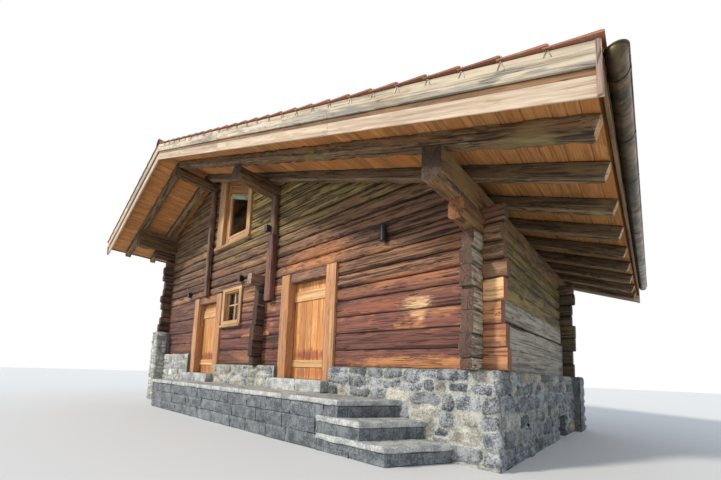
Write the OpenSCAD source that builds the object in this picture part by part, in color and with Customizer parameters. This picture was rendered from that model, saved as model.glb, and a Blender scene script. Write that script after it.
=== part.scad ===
// Alpine log chalet: rubble stone base, squared and round logs that interlock at the
// corners, a cross wall whose ends show, and a long, low roof on purlins and rafters.
// House lines: X = 0 is the outer face of the right wall and the house runs to -X,
// Y = 0 is the outer face of the front gable wall, Z = 0 is the top of the stone base.

/* [House] */
// Length of the front gable wall, over the logs
house_len = 9800; // [8600:50:11000]
// Depth of the house, over the logs
house_dep = 4460; // [4000:10:6000]
// Height of the stone base under the logs
base_h = 1060; // [900:10:1400]
// Thickness of the stone base
base_t = 450; // [400:10:600]
// How far the base stands out before the logs, front, rear and left
base_out = 100; // [40:10:180]
// How far the base stands out on the right
base_out_r = 220; // [100:10:260]
// How far the rear corner of the base stands out on the right
base_out_c = 340; // [220:10:400]
// Squared rows that raised stone takes the place of at the left end
raised_rows = 1; // [0:1:2]

/* [Logs] */
// Thickness of every log wall
log_t = 150; // [120:5:180]
// Height of a squared beam in the lower rows
beam_h = 265; // [240:5:290]
// Number of squared beam rows
beam_rows = 4; // [3:1:5]
// Height of a round log in the upper rows
log_h = 222; // [190:2:260]
// Rounding of a squared beam
beam_r = 24; // [10:2:40]
// Rounding of a round log
log_r = 58; // [40:2:65]
// How far the log ends stand out past a corner
end_out = 235; // [180:5:320]
// How much the log ends differ in length
end_vary = 35; // [0:5:60]
// Distance of the cross wall from the right wall
cross_x = 4540; // [4500:10:4700]
// How far the ends of the cross wall stand out
cross_out = 200; // [160:10:300]
// How far the top log of the cross wall stands out
cross_top = 350; // [220:10:420]
// Rows of the cross wall, which carries the upper floor
cross_rows = 8; // [8:1:8]

/* [Roof] */
// Distance of the ridge from the right wall
ridge_x = 7100; // [6600:50:7600]
// Height of the roof boards at the ridge
ridge_z = 5140; // [4900:10:5500]
// Slope of the roof, in degrees
pitch = 20.4; // [18:0.2:23]
// Overhang over the front gable
verge_front = 1450; // [1200:10:1700]
// Overhang over the rear gable
verge_rear = 1110; // [1110:10:1400]
// Overhang of the right eave
eave_right = 1290; // [1000:10:1500]
// Overhang of the left eave
eave_left = 1300; // [1000:10:1500]
// Thickness of the roof boarding with the battens and insulation on it
board_t = 168; // [120:2:190]
// Height of a rafter
rafter_h = 157; // [131:2:201]
// Width of a rafter
rafter_w = 140; // [100:5:160]
// Rafter spaces between the two gable walls
rafter_bays = 6; // [5:1:7]
// Distance of the outermost rafters from the next ones
rafter_front = 700; // [550:10:710]
// Distance of the rafters beside the gables from the walls' outer faces
rafter_over = 240; // [200:10:290]
// How far the lower edge of a rafter end lies behind the upper one
rafter_cut = 50; // [0:5:120]
// Distance from the eave line to the rafter tips
rafter_back = 50; // [30:5:120]
// Length of roof that one course of tiles covers
tile_gauge = 330; // [280:5:400]
// Tile height at the upper end of a course
tile_low = 12; // [10:1:30]
// Tile height at the lower end of a course
tile_high = 38; // [32:1:60]
// Overhang of the tiles past the boards
tile_over = 20; // [10:5:40]
// Radius of the ridge tiles
ridge_tile_r = 120; // [100:5:150]
// Thickness of the ridge tiles
ridge_tile_t = 18; // [14:1:25]

/* [Purlins] */
// Diameter of the middle purlin
purlin_d = 320; // [260:5:340]
// Diameter of the ridge purlin
ridge_d = 260; // [200:5:300]
// Distance of the middle purlin from the right wall
purlin_x = 4300; // [4100:10:4500]
// How far the ridge purlin and the plates stand out before the front wall
purlin_out = 1030; // [1020:10:1150]
// How far the middle purlin stands out before the front wall
middle_out = 930; // [900:10:1150]
// How far the purlins stand out behind the rear wall
purlin_rear = 1040; // [1040:10:1070]
// Width of a wall plate
plate_w = 230; // [200:5:250]
// Least height of a wall plate
plate_min = 200; // [160:10:240]
// How far the corbel log stands out under a plate
corbel_out = 560; // [400:10:700]
// Width of a gable post
post_w = 190; // [150:5:220]
// How far a gable post stands out from the wall
post_out = 130; // [90:5:180]
// How far the middle gable post stands beside the middle purlin's axis
mid_post_shift = 60; // [0:5:100]

/* [Verge and eaves] */
// Thickness of the lower verge board, which also backs the upper one
verge_t = 35; // [25:1:45]
// Thickness of the upper verge board
verge_up_t = 24; // [15:1:35]
// Height of the upper verge board
verge_up = 178; // [150:2:220]
// Height that shows of the lower verge board
verge_low = 172; // [150:2:260]
// Height of the eave board
eave_board_h = 190; // [140:5:220]
// Thickness of the eave board
eave_board_t = 25; // [18:1:35]
// Radius of the half round gutter
gutter_r = 60; // [55:1:75]
// Wall thickness of the gutter
gutter_wall = 3; // [2:0.5:5]
// Height of the gutter rim below the roof boards at the eave
gutter_drop = 45; // [40:5:90]
// Gap between the eave line and the gutter
gutter_gap = 6; // [4:1:15]
// Distance of the gutter's ends from the verges
gutter_back = 110; // [60:10:200]
// Radius of the gutter's outlet
outlet_r = 38; // [30:1:45]
// Length of the gutter's outlet
outlet_len = 90; // [60:5:140]
// Thickness of the gutter hooks
hook_t = 5; // [4:1:8]
// Width of the gutter hooks
hook_w = 28; // [20:1:35]

/* [Doors] */
// Clear width between the door posts
door_w = 1000; // [850:10:1050]
// Floor and threshold level below the logs
sill_drop = 220; // [150:5:240]
// Distance of the middle of door 1 from the right wall
door_1_x = 7030; // [6980:10:7060]
// Distance of the middle of door 2 from the right wall
door_2_x = 3130; // [3000:10:3250]
// Width of a door post
jamb_w = 240; // [180:10:260]
// How far the door posts stand before the wall
jamb_out = 45; // [20:5:70]
// How far the door posts stand behind the wall
jamb_in = 20; // [10:5:40]
// Height of the door head, which lies between the posts
head_h = 165; // [120:5:200]
// How far the door head lies behind the posts' front
head_back = 30; // [15:5:60]
// Thickness of a door leaf
leaf_t = 45; // [35:1:55]
// Gap round a door leaf
leaf_gap = 6; // [5:1:9]
// Height of the battens on a door leaf
batten_h = 190; // [120:5:220]
// Thickness of the battens on a door leaf
batten_t = 22; // [15:1:30]
// Length of a strap on the leaf
strap_len = 520; // [400:10:700]
// Length of a pintle's plate on the post
plate_len = 90; // [60:5:110]
// Thickness of straps and plates
strap_t = 12; // [10:1:14]
// Height of a hinge eye
hinge_h = 50; // [40:2:70]
// Radius of a hinge eye
hinge_r = 12; // [10:1:15]
// Radius of a hinge pin
pin_r = 6; // [5:0.5:7]
// Clearance between hinge pin and hinge eye
pin_gap = 0.1; // [0.05:0.05:0.3]

/* [Windows] */
// Width of the small window's opening
small_w = 700; // [500:10:800]
// Height of the small window's opening
small_h = 720; // [600:10:740]
// Distance of the small window's middle from the right wall
small_x = 5800; // [5700:10:5850]
// Sill height of the small window
small_z = 985; // [900:5:1050]
// Clear width between the posts of the upper window
upper_w = 1250; // [1150:10:1260]
// Width of these posts
upper_post_w = 280; // [220:10:290]
// Distance of the upper window's middle from the right wall
upper_x = 5875; // [5850:5:5900]
// Height of the foot of these posts
upper_z = 2930; // [2880:10:2980]
// Height of the upper window's sill
upper_sill_h = 60; // [45:5:80]
// Width of the boards between these posts and the frame
upper_liner = 120; // [80:5:130]
// How far these boards lie behind the wall's face
upper_in = 40; // [20:5:60]
// Thickness of these boards
upper_board_t = 60; // [50:5:80]
// Height of the glass above the sill
upper_glass_z = 220; // [180:10:260]
// Depth of the upper edge of this glass below the roof boards' top
upper_top = 615; // [560:5:680]
// Width of a window frame's members
frame_w = 75; // [55:5:90]
// How far a window frame stands before the wall
frame_out = 45; // [20:5:70]
// How far the frame covers the edge of the opening
frame_in = 30; // [20:1:40]
// Height of a window sill
win_sill_h = 45; // [30:5:60]
// How far a window sill stands out past its frame
win_sill_out = 40; // [20:5:60]
// Thickness of the glass
glass_t = 6; // [4:1:10]

/* [Stone and floors] */
// Thickness of a threshold stone
threshold_h = 190; // [120:5:220]
// How far a threshold stone stands before the base
threshold_out = 170; // [80:5:240]
// Going of each step
step_going = 360; // [300:10:420]
// Number of steps below the landing
steps = 2; // [1:1:3]
// Depth of landing and steps from the base outward
landing_dep = 800; // [600:10:900]
// How far the landing runs to the right of door 2's middle
landing_right = 2140; // [2000:10:2250]
// How far the steps narrow towards their outer end
step_skew = 420; // [0:10:500]
// Thickness of a tread slab
tread_t = 70; // [50:5:90]
// Nosing of a tread slab
nosing = 30; // [20:5:40]
// Thickness of the ground floor
floor_t = 100; // [60:5:140]
// Thickness of the upper floor
upper_floor_t = 60; // [40:5:90]
// Width of the opening low in the right base
cellar_w = 600; // [500:10:800]
// Height of the opening low in the right base
cellar_h = 380; // [300:10:500]
// Distance of that opening's middle from the front wall
cellar_y = 3000; // [2400:10:3400]
// Rows of log ends that the stone pier at the left corner takes the place of
pier_rows = 3; // [1:1:3]
// Width of the stone pier at the left corner
pier_w = 420; // [300:10:500]
// How far the stone pier stands before the front wall
pier_out = 330; // [250:10:400]
// Height of the lower wide plank on the right wall
clad_h = 640; // [500:10:700]
// Height of the upper wide plank on the right wall
clad_up = 280; // [200:10:300]
// Distance of the wide planks from the corner logs
clad_in = 40; // [20:5:80]
// How much shorter the upper wide plank is
clad_short = 160; // [100:10:300]
// Gap between the two wide planks
clad_gap = 25; // [10:5:60]
// Thickness of the wide planks
clad_t = 40; // [30:2:50]

/* [Lamps] */
// Height of the long wall lamp
lamp_h = 230; // [180:5:260]
// Radius of the long wall lamp
lamp_r = 45; // [35:1:50]
// Size of the small box lamps
box_lamp = 90; // [70:2:110]
// Height of the small box lamps
box_lamp_h = 130; // [100:5:160]

/* [Hidden] */

$fn = 48;
over = 10;
fit = 0.5;
seat = 0.3;
slope_tan = tan(pitch);
slope_cos = cos(pitch);
right_reach = ridge_x + eave_right;
left_reach = house_len - ridge_x + eave_left;
rafter_low = board_t + rafter_h;
roof_y0 = -verge_front + verge_t;
roof_y1 = house_dep + verge_rear - verge_t;
rafter_step = (house_dep + 2 * rafter_over) / rafter_bays;
rafter_ys = concat([-rafter_over - rafter_front],
    [for (i = [0:rafter_bays]) round(i * rafter_step) - rafter_over],
    [house_dep + rafter_over + rafter_front]);

door_top = row_z(beam_rows + 3);
over_row = beam_rows + 3;
over_z = row_z(over_row);
door_head = door_top - head_h;
landing_z = -sill_drop - threshold_h;
leaf_y1 = log_t + jamb_in;
hinge_y = leaf_y1 + strap_t / 2 + hinge_r;
batten_end = 10;
hinge_in = 200;
hinge_zs = [-sill_drop + leaf_gap + hinge_in, door_head - leaf_gap - hinge_in - hinge_h];
row_max = 30;
base_step = row_z(raised_rows);
pier_top = side_z(raised_rows + pier_rows);
upper_side = upper_w / 2 + upper_post_w;
upper_glass = upper_w / 2 - upper_liner - frame_w;

// The house is set so that the middle of its outer box stands on the origin
low_x = -house_len - eave_left - tile_over;
high_x = eave_right + gutter_gap + 2 * gutter_r + hook_t;
low_y = -verge_front - verge_up_t - tile_over;
high_y = house_dep + verge_rear + verge_up_t + tile_over;

module in_frame() {
    translate([-(low_x + high_x) / 2, -(low_y + high_y) / 2, base_h]) children();
}

// Seams of the front and rear walls, and of the walls that cross them half a row higher
function row_z(k) = k < beam_rows ? k * beam_h : beam_rows * beam_h + (k - beam_rows) * log_h;
function row_h(k) = k < beam_rows ? beam_h : log_h;
function row_r(k) = k < beam_rows ? beam_r : log_r;
function side_z(k) = k == 0 ? 0 : row_z(k - 1) + row_h(k - 1) / 2;
function side_h(k) = side_z(k + 1) - side_z(k);
function side_rows(top) = len([for (k = [1:row_max]) if (side_z(k) <= top - plate_min) k]);
function end_len(k, turn) = end_out + round(end_vary * sin(97 * k + turn));

// Heights on the roof: a depth below the roof boards' top, at a distance from the right wall
function roof_z(x, depth = 0) = slope_z(abs(x - ridge_x), depth);
function slope_z(h, depth) = ridge_z - slope_tan * h - depth / slope_cos;
right_rows = side_rows(roof_z(0, rafter_low));
left_rows = side_rows(roof_z(house_len, rafter_low));
right_plate_z = side_z(right_rows);
left_plate_z = side_z(left_rows);
gable_rows = ceil((ridge_z - over_z) / log_h) + over_row;

// Cross section of a log: flat seams above and below, rounded edges
function arc_points(cx, cy, r, a0) = [for (i = [0:3]) [cx + r * cos(a0 + 30 * i), cy + r * sin(a0 + 30 * i)]];
function log_outline(h, r) = concat(
    arc_points(log_t - r, r, r, 270),
    arc_points(log_t - r, h - r, r, 0),
    arc_points(r, h - r, r, 90),
    arc_points(r, r, r, 180));

module log_x(x0, x1, z, h, r) {
    translate([x0, 0, z]) rotate([90, 0, 90]) linear_extrude(x1 - x0) polygon(log_outline(h, r));
}

module log_y(y0, y1, z, h, r) {
    translate([0, y1, z]) rotate([90, 0, 0]) linear_extrude(y1 - y0) polygon(log_outline(h, r));
}

module block(x0, x1, y0, y1, z0, z1) {
    translate([x0, y0, z0]) cube([x1 - x0, y1 - y0, z1 - z0]);
}

// A prism across the house from an outline in X and Z
module prism(points, y0, y1) {
    translate([0, y1, 0]) rotate([90, 0, 0]) linear_extrude(y1 - y0) polygon(points);
}

// Half laps at a crossing: the gable rows keep the middle half of each log,
// and the side rows keep what lies round the seams
module gable_laps(x0, y0, k0, k1) {
    for (k = [k0:k1]) {
        block(x0, x0 + log_t, y0, y0 + log_t,
            row_z(k) + row_h(k) / 4, row_z(k) + row_h(k) * 3 / 4);
    }
}

module side_laps(x0, y0, k0, k1) {
    for (k = [k0:k1]) {
        block(x0, x0 + log_t, y0, y0 + log_t,
            k == 0 ? -over : row_z(k) - row_h(k - 1) / 4, row_z(k) + row_h(k) / 4);
    }
}

// A prism on one slope from an outline of distances from the ridge and depths below the
// boards' top; side is 1 for the right slope and -1 for the left one
function on_slope(side, points) = [for (p = points) [-ridge_x + side * p[0], slope_z(p[0], p[1])]];

module slope_prism(side, points, y0, y1) {
    prism(on_slope(side, points), y0, y1);
}

module slope_layer(side, h0, h1, d0, d1, y0, y1) {
    slope_prism(side, [[h0, d0], [h1, d0], [h1, d1], [h0, d1]], y0, y1);
}

// All that lies deeper than a depth below the boards' top
module under_roof(depth, y0, y1) {
    prism(concat([[-ridge_x - left_reach, 0], [-ridge_x + right_reach, 0]],
        on_slope(1, [[right_reach, depth], [0, depth]]), on_slope(-1, [[left_reach, depth]])), y0, y1);
}

// Stone base
module door_gaps(extra) {
    for (x = [door_1_x, door_2_x]) {
        block(-x - door_w / 2 - jamb_w, -x + door_w / 2 + jamb_w,
            -base_out - over, base_t, -sill_drop - threshold_h, base_step + extra);
    }
}

module base_front() {
    step_x = -door_1_x - door_w / 2 - jamb_w;
    color("lightslategray") in_frame() difference() {
        union() {
            block(-house_len - base_out, base_out_r, -base_out, base_t - base_out, -base_h, 0);
            block(-house_len - base_out, step_x, -base_out, base_t - base_out, -over, base_step);
            block(-house_len - base_out, -house_len - base_out + pier_w, -pier_out, 0, -base_h, pier_top);
        }
        door_gaps(over);
    }
}

module base_rear() {
    y0 = house_dep + base_out - base_t;
    color("lightslategray") in_frame() union() {
        block(-house_len - base_out, base_out_c, y0, y0 + base_t, -base_h, 0);
        block(-house_len - base_out, -house_len - base_out + base_t, y0, y0 + base_t, -over, base_step);
    }
}

module base_left() {
    x0 = -house_len - base_out;
    color("lightslategray") in_frame()
        block(x0, x0 + base_t, base_t - base_out, house_dep + base_out - base_t, -base_h, base_step);
}

module base_right() {
    x0 = base_out_r - base_t;
    color("slategray") in_frame() difference() {
        block(x0, base_out_r, base_t - base_out, house_dep + base_out - base_t, -base_h, 0);
        block(x0 - over, base_out_r + over, cellar_y - cellar_w / 2, cellar_y + cellar_w / 2,
            -base_h - over, -base_h + cellar_h);
    }
}

// Floors
module ground_floor() {
    color("sienna") in_frame() block(-house_len - base_out + base_t, base_out_r - base_t,
        base_t - base_out, house_dep + base_out - base_t, -sill_drop - floor_t, -sill_drop);
}

module upper_floor() {
    color("sienna") in_frame() block(-house_len + log_t, -cross_x + log_t / 2, log_t,
        house_dep - log_t, side_z(cross_rows), side_z(cross_rows) + upper_floor_t);
}

// Log walls
module gable_log_rows(k0, k1, x0, x1, turn) {
    for (k = [k0:k1]) {
        log_x(x0 == undef ? -house_len - end_len(k, turn) : x0,
            x1 == undef ? end_len(k, turn + 60) : x1, row_z(k), row_h(k), row_r(k));
    }
}

module front_wall_right() {
    x0 = -door_2_x + door_w / 2 + jamb_w;
    color("saddlebrown") in_frame() difference() {
        gable_log_rows(0, over_row - 1, x0, undef, 0);
        side_laps(-log_t, 0, 0, over_row);
    }
}

module front_wall_middle() {
    x0 = -door_1_x + door_w / 2 + jamb_w;
    x1 = -door_2_x - door_w / 2 - jamb_w;
    color("saddlebrown") in_frame() difference() {
        gable_log_rows(0, over_row - 1, x0, x1, 0);
        side_laps(-cross_x - log_t / 2, 0, 0, cross_rows - 1);
        block(-small_x - small_w / 2, -small_x + small_w / 2, -over, log_t + over,
            small_z, small_z + small_h);
    }
}

module front_wall_left() {
    x1 = -door_1_x - door_w / 2 - jamb_w;
    color("saddlebrown") in_frame() difference() {
        gable_log_rows(raised_rows, over_row - 1, undef, x1, 0);
        side_laps(-house_len, 0, 0, over_row);
    }
}

// The gable under the roof boards, with room for plates and purlins
module gable_outline(z0, y0) {
    intersection() {
        children();
        prism([[-house_len - 2 * end_out, z0], [2 * end_out, z0], [2 * end_out, right_plate_z],
            [-plate_w, right_plate_z], [-plate_w, roof_z(plate_w, board_t) - seat],
            [-ridge_x, roof_z(ridge_x, board_t) - seat],
            [-house_len + plate_w, roof_z(house_len - plate_w, board_t) - seat],
            [-house_len + plate_w, left_plate_z], [-house_len - 2 * end_out, left_plate_z]],
            y0 - over, y0 + log_t + over);
    }
}

// A purlin is hewn flat where the rafters lie on it
purlin_flat = 14;
function purlin_z(x, d) = roof_z(x, rafter_low) - d / 2 + purlin_flat;

module purlin_shape(x, d, y0, y1, grow) {
    intersection() {
        translate([-x, y1, purlin_z(x, d)]) rotate([90, 0, 0]) cylinder(h = y1 - y0, d = d + 2 * grow);
        under_roof(rafter_low + seat - grow, y0, y1);
    }
}

module purlin_gaps(y0) {
    purlin_shape(ridge_x, ridge_d, y0 - over, y0 + log_t + over, fit);
    purlin_shape(purlin_x, purlin_d, y0 - over, y0 + log_t + over, fit);
}

module front_gable() {
    color("sienna") in_frame() difference() {
        gable_outline(over_z, 0) gable_log_rows(over_row, gable_rows, undef, undef, 0);
        side_laps(-log_t, 0, over_row, right_rows);
        side_laps(-house_len, 0, over_row, left_rows);
        side_laps(-cross_x - log_t / 2, 0, over_row, cross_rows - 1);
        purlin_gaps(0);
        block(-upper_x - upper_side, -upper_x + upper_side, -over, log_t + over, upper_z, ridge_z);
    }
}

module rear_wall() {
    y0 = house_dep - log_t;
    color("saddlebrown") in_frame() difference() {
        translate([0, y0, 0]) gable_outline(0, 0) gable_log_rows(0, gable_rows, undef, undef, 140);
        side_laps(-log_t, y0, 0, right_rows);
        side_laps(-house_len, y0, 0, left_rows);
        side_laps(-cross_x - log_t / 2, y0, 0, cross_rows - 1);
        purlin_gaps(y0);
        block(-house_len - 2 * end_out, -house_len - base_out + base_t, y0 - over, house_dep + over,
            -over, base_step);
    }
}

module side_log_rows(k0, k1, x, turn, corbel) {
    for (k = [k0:k1]) {
        out = k == k1 && corbel > 0 ? corbel : end_len(k, turn);
        translate([x, 0, 0]) log_y(-out, house_dep + (k == k1 && corbel > 0 ? corbel : end_len(k, turn + 80)),
            side_z(k), side_h(k), row_r(k));
    }
}

module right_wall() {
    color("darkolivegreen") in_frame() difference() {
        side_log_rows(0, right_rows - 1, -log_t, 20, corbel_out);
        gable_laps(-log_t, 0, 0, right_rows);
        gable_laps(-log_t, house_dep - log_t, 0, right_rows);
    }
}

module left_wall() {
    color("saddlebrown") in_frame() difference() {
        side_log_rows(raised_rows, left_rows - 1, -house_len, 50, corbel_out);
        gable_laps(-house_len, 0, 0, left_rows);
        gable_laps(-house_len, house_dep - log_t, 0, left_rows);
        block(-house_len - over, -house_len + log_t + over, -2 * end_out, house_dep + 2 * end_out,
            -over, base_step);
        block(-house_len - over, -house_len + log_t + over, -2 * end_out, 0, -over, pier_top);
    }
}

module cross_wall() {
    x0 = -cross_x - log_t / 2;
    color("saddlebrown") in_frame() difference() {
        for (k = [0:cross_rows - 1]) {
            out = k == cross_rows - 1 ? cross_top : cross_out + round(end_vary * sin(70 * k));
            translate([x0, 0, 0]) log_y(-out, house_dep + end_len(k, 10), side_z(k), side_h(k), row_r(k));
        }
        gable_laps(x0, 0, 0, cross_rows - 1);
        gable_laps(x0, house_dep - log_t, 0, cross_rows - 1);
    }
}

module gable_post(purlin, d, shift, z0) {
    x = purlin - shift;
    difference() {
        block(-x - post_w / 2, -x + post_w / 2, -post_out, 0, z0, purlin_z(purlin, d));
        purlin_shape(purlin, d, -post_out - over, over, seat);
    }
}

module gable_posts() {
    color("sienna") in_frame() union() {
        gable_post(ridge_x, ridge_d, 0, over_z);
        gable_post(purlin_x, purlin_d, mid_post_shift, row_z(beam_rows + 1));
    }
}

// Purlins and plates
module ridge_purlin() {
    color("saddlebrown") in_frame()
        purlin_shape(ridge_x, ridge_d, -purlin_out, house_dep + purlin_rear, 0);
}

module middle_purlin() {
    color("saddlebrown") in_frame()
        purlin_shape(purlin_x, purlin_d, -middle_out, house_dep + purlin_rear, 0);
}

module plate(x0, x1, z0) {
    intersection() {
        block(x0, x1, -purlin_out, house_dep + purlin_rear, z0, ridge_z);
        under_roof(rafter_low + seat, -purlin_out - over, house_dep + purlin_rear + over);
    }
}

module right_plate() {
    color("saddlebrown") in_frame() plate(-plate_w, 0, right_plate_z);
}

module left_plate() {
    color("saddlebrown") in_frame() plate(-house_len, -house_len + plate_w, left_plate_z);
}

// Rafters, with slanted ends at the eaves
module rafter_set(side, reach) {
    tip = reach - rafter_back;
    for (y = rafter_ys) {
        slope_prism(side, [[0, board_t + seat], [tip, board_t + seat], [tip - rafter_cut, rafter_low],
            [0, rafter_low]], y - rafter_w / 2, y + rafter_w / 2);
    }
}

module right_rafters() {
    color("saddlebrown") in_frame() rafter_set(1, right_reach);
}

module left_rafters() {
    color("saddlebrown") in_frame() rafter_set(-1, left_reach);
}

module right_boarding() {
    color("peru") in_frame() slope_layer(1, 0, right_reach - eave_board_t, 0, board_t, roof_y0, roof_y1);
}

module left_boarding() {
    color("peru") in_frame() slope_layer(-1, 0, left_reach - eave_board_t, 0, board_t, roof_y0, roof_y1);
}

// Tiles in stepped courses: each course rises towards its lower edge
module tile_field(side, reach) {
    length = reach + tile_over - ridge_tile_r;
    courses = round(length / (tile_gauge * slope_cos));
    teeth = [for (i = [0:courses - 1]) each [
        [ridge_tile_r + i * length / courses, -tile_low],
        [ridge_tile_r + (i + 1) * length / courses, -tile_high]]];
    slope_prism(side, concat([[reach + tile_over, -seat], [0, -seat], [0, -tile_low]], teeth), low_y, high_y);
}

module right_tiles() {
    color("indianred") in_frame() tile_field(1, right_reach);
}

module left_tiles() {
    color("indianred") in_frame() tile_field(-1, left_reach);
}

module ridge_tiles() {
    color("indianred") in_frame() difference() {
        translate([-ridge_x, high_y, ridge_z]) rotate([90, 0, 0])
            cylinder(h = high_y - low_y, r = ridge_tile_r);
        translate([-ridge_x, high_y + over, ridge_z]) rotate([90, 0, 0])
            cylinder(h = high_y - low_y + 2 * over, r = ridge_tile_r - ridge_tile_t);
        under_roof(-tile_low - seat, low_y - over, high_y + over);
    }
}

// Verge boards on both gables, in one piece each from eave to eave: the lower ones also
// back the upper ones
module verge_pair(depth, out, t) {
    outline = concat(on_slope(1, [[right_reach, depth], [right_reach, 0], [0, 0]]),
        on_slope(-1, [[left_reach, 0], [left_reach, depth]]), on_slope(1, [[0, depth]]));
    for (y = [-verge_front - out, house_dep + verge_rear + out - t]) {
        prism(outline, y, y + t);
    }
}

module verge_upper_boards() {
    color("wheat") in_frame() verge_pair(verge_up, verge_up_t, verge_up_t);
}

module verge_lower_boards() {
    color("cornsilk") in_frame() verge_pair(verge_up + verge_low, 0, verge_t);
}

module eave_board(side, reach) {
    slope_layer(side, reach - eave_board_t, reach, 0, eave_board_h, roof_y0, roof_y1);
}

module eave_boards() {
    color("burlywood") in_frame() union() {
        eave_board(1, right_reach);
        eave_board(-1, left_reach);
    }
}

// Half round gutter with closed ends and an outlet, carried by hooks at the rafters
gutter_x = eave_right + gutter_gap + gutter_r;
gutter_z = round(roof_z(-eave_right)) - gutter_drop;

// A round bar along the eave, on the gutter's axis
module gutter_bar(y0, y1, r) {
    translate([gutter_x, y1, gutter_z]) rotate([90, 0, 0]) cylinder(h = y1 - y0, r = r);
}

module gutter_top(y0, y1) {
    block(gutter_x - 2 * gutter_r, gutter_x + 2 * gutter_r, y0 - over, y1 + over,
        gutter_z, gutter_z + 2 * gutter_r);
}

module gutter() {
    y0 = -verge_front + gutter_back;
    y1 = house_dep + verge_rear - gutter_back;
    foot = gutter_z - gutter_r - outlet_len;
    color("darkkhaki") in_frame() difference() {
        union() {
            gutter_bar(y0, y1, gutter_r);
            translate([gutter_x, 0, foot]) cylinder(h = outlet_len + gutter_wall, r = outlet_r);
        }
        gutter_bar(y0 + gutter_wall, y1 - gutter_wall, gutter_r - gutter_wall);
        translate([gutter_x, 0, foot - over]) cylinder(h = outlet_len + gutter_r, r = outlet_r - gutter_wall);
        gutter_top(y0, y1);
    }
}

module gutter_brackets() {
    for (y = rafter_ys) {
        color("darkkhaki") in_frame() difference() {
            union() {
                gutter_bar(y - hook_w / 2, y + hook_w / 2, gutter_r + hook_t);
                block(eave_right, gutter_x, y - hook_w / 2, y + hook_w / 2,
                    gutter_z - 4 * hook_t, gutter_z - 2 * hook_t);
            }
            gutter_bar(y - hook_w, y + hook_w, gutter_r);
            gutter_top(y - hook_w, y + hook_w);
        }
    }
}

// Thresholds, landing and steps
module thresholds() {
    for (x = [door_1_x, door_2_x]) {
        color("slategray") in_frame() block(-x - door_w / 2 - jamb_w, -x + door_w / 2 + jamb_w,
            -base_out - threshold_out, base_t - base_out, -sill_drop - threshold_h, -sill_drop);
    }
}

// A slab on a riser, whose right end runs slanted from the base outward
module stone_step(x0, x1, top) {
    out = -base_out - landing_dep;
    translate([0, 0, -base_h]) linear_extrude(base_h + top - tread_t)
        polygon([[x0, -base_out], [x0, out + nosing], [x1 - step_skew - nosing, out + nosing], [x1 - nosing, -base_out]]);
    translate([0, 0, top - tread_t]) linear_extrude(tread_t)
        polygon([[x0, -base_out], [x0, out], [x1 - step_skew, out], [x1, -base_out]]);
}

module entrance_steps() {
    x0 = -door_1_x - door_w / 2 - jamb_w;
    x1 = -door_2_x + landing_right;
    rise = (base_h + landing_z) / (steps + 1);
    color("gray") in_frame() union() {
        for (i = [0:steps]) {
            stone_step(i == 0 ? x0 : x1 - step_skew - step_going, x1 + i * step_going, landing_z - i * rise);
        }
    }
}

module right_cladding() {
    color("darkgray") in_frame() {
        block(0, clad_t, log_t + clad_in, house_dep - log_t - clad_in, 0, clad_h);
        block(0, clad_t, log_t + clad_in, house_dep - log_t - clad_in - clad_short,
            clad_h + clad_gap, clad_h + clad_gap + clad_up);
    }
}

// Doors
module door_frame(x) {
    for (side = [-1, 1]) {
        translate([-x + side * (door_w + jamb_w) / 2, 0, 0])
            block(-jamb_w / 2, jamb_w / 2, -jamb_out, log_t + jamb_in, -sill_drop, door_top);
    }
    block(-x - door_w / 2 - over, -x + door_w / 2 + over, -jamb_out + head_back, log_t + jamb_in - head_back,
        door_head, door_top);
}

module door_1_frame() {
    color("peru") in_frame() union() door_frame(door_1_x);
}

module door_2_frame() {
    color("peru") in_frame() union() door_frame(door_2_x);
}

// A leaf of upright boards with a batten above and below on its outer side
module door_leaf(x) {
    x0 = -x - door_w / 2 + leaf_gap;
    x1 = -x + door_w / 2 - leaf_gap;
    z0 = -sill_drop + leaf_gap;
    z1 = door_head - leaf_gap;
    block(x0, x1, leaf_y1 - leaf_t, leaf_y1, z0, z1);
    for (z = [z0 + batten_end, z1 - batten_end - batten_h]) {
        block(x0, x1, leaf_y1 - leaf_t - batten_t, leaf_y1 - leaf_t, z, z + batten_h);
    }
}

module door_1_leaf() {
    color("goldenrod") in_frame() union() door_leaf(door_1_x);
}

module door_2_leaf() {
    color("goldenrod") in_frame() union() door_leaf(door_2_x);
}

// Strap hinges: the eye turns on a pin that the door post carries
module strap(hand, z) {
    difference() {
        union() {
            translate([0, hinge_y, z]) cylinder(h = hinge_h, r = hinge_r);
            translate([hand > 0 ? -strap_len : 0, leaf_y1, z]) cube([strap_len, strap_t, hinge_h]);
        }
        translate([0, hinge_y, z - over]) cylinder(h = hinge_h + 2 * over, r = pin_r + pin_gap);
    }
}

module pintle(hand, z) {
    union() {
        translate([0, hinge_y, z - hinge_h - seat]) cylinder(h = hinge_h, r = hinge_r);
        translate([0, hinge_y, z - over]) cylinder(h = hinge_h + 2 * over, r = pin_r);
        translate([hand > 0 ? 0 : -plate_len, leaf_y1, z - hinge_h - seat])
            cube([plate_len, strap_t, hinge_h]);
    }
}

module door_1_straps() {
    for (z = hinge_zs) {
        color("dimgray") in_frame() translate([-door_1_x - door_w / 2, 0, 0]) strap(-1, z);
    }
}

module door_2_straps() {
    for (z = hinge_zs) {
        color("dimgray") in_frame() translate([-door_2_x + door_w / 2, 0, 0]) strap(1, z);
    }
}

module door_hinges() {
    for (z = hinge_zs) {
        color("dimgray") in_frame() union() {
            translate([-door_1_x - door_w / 2, 0, 0]) pintle(-1, z);
            translate([-door_2_x + door_w / 2, 0, 0]) pintle(1, z);
        }
    }
}

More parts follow.
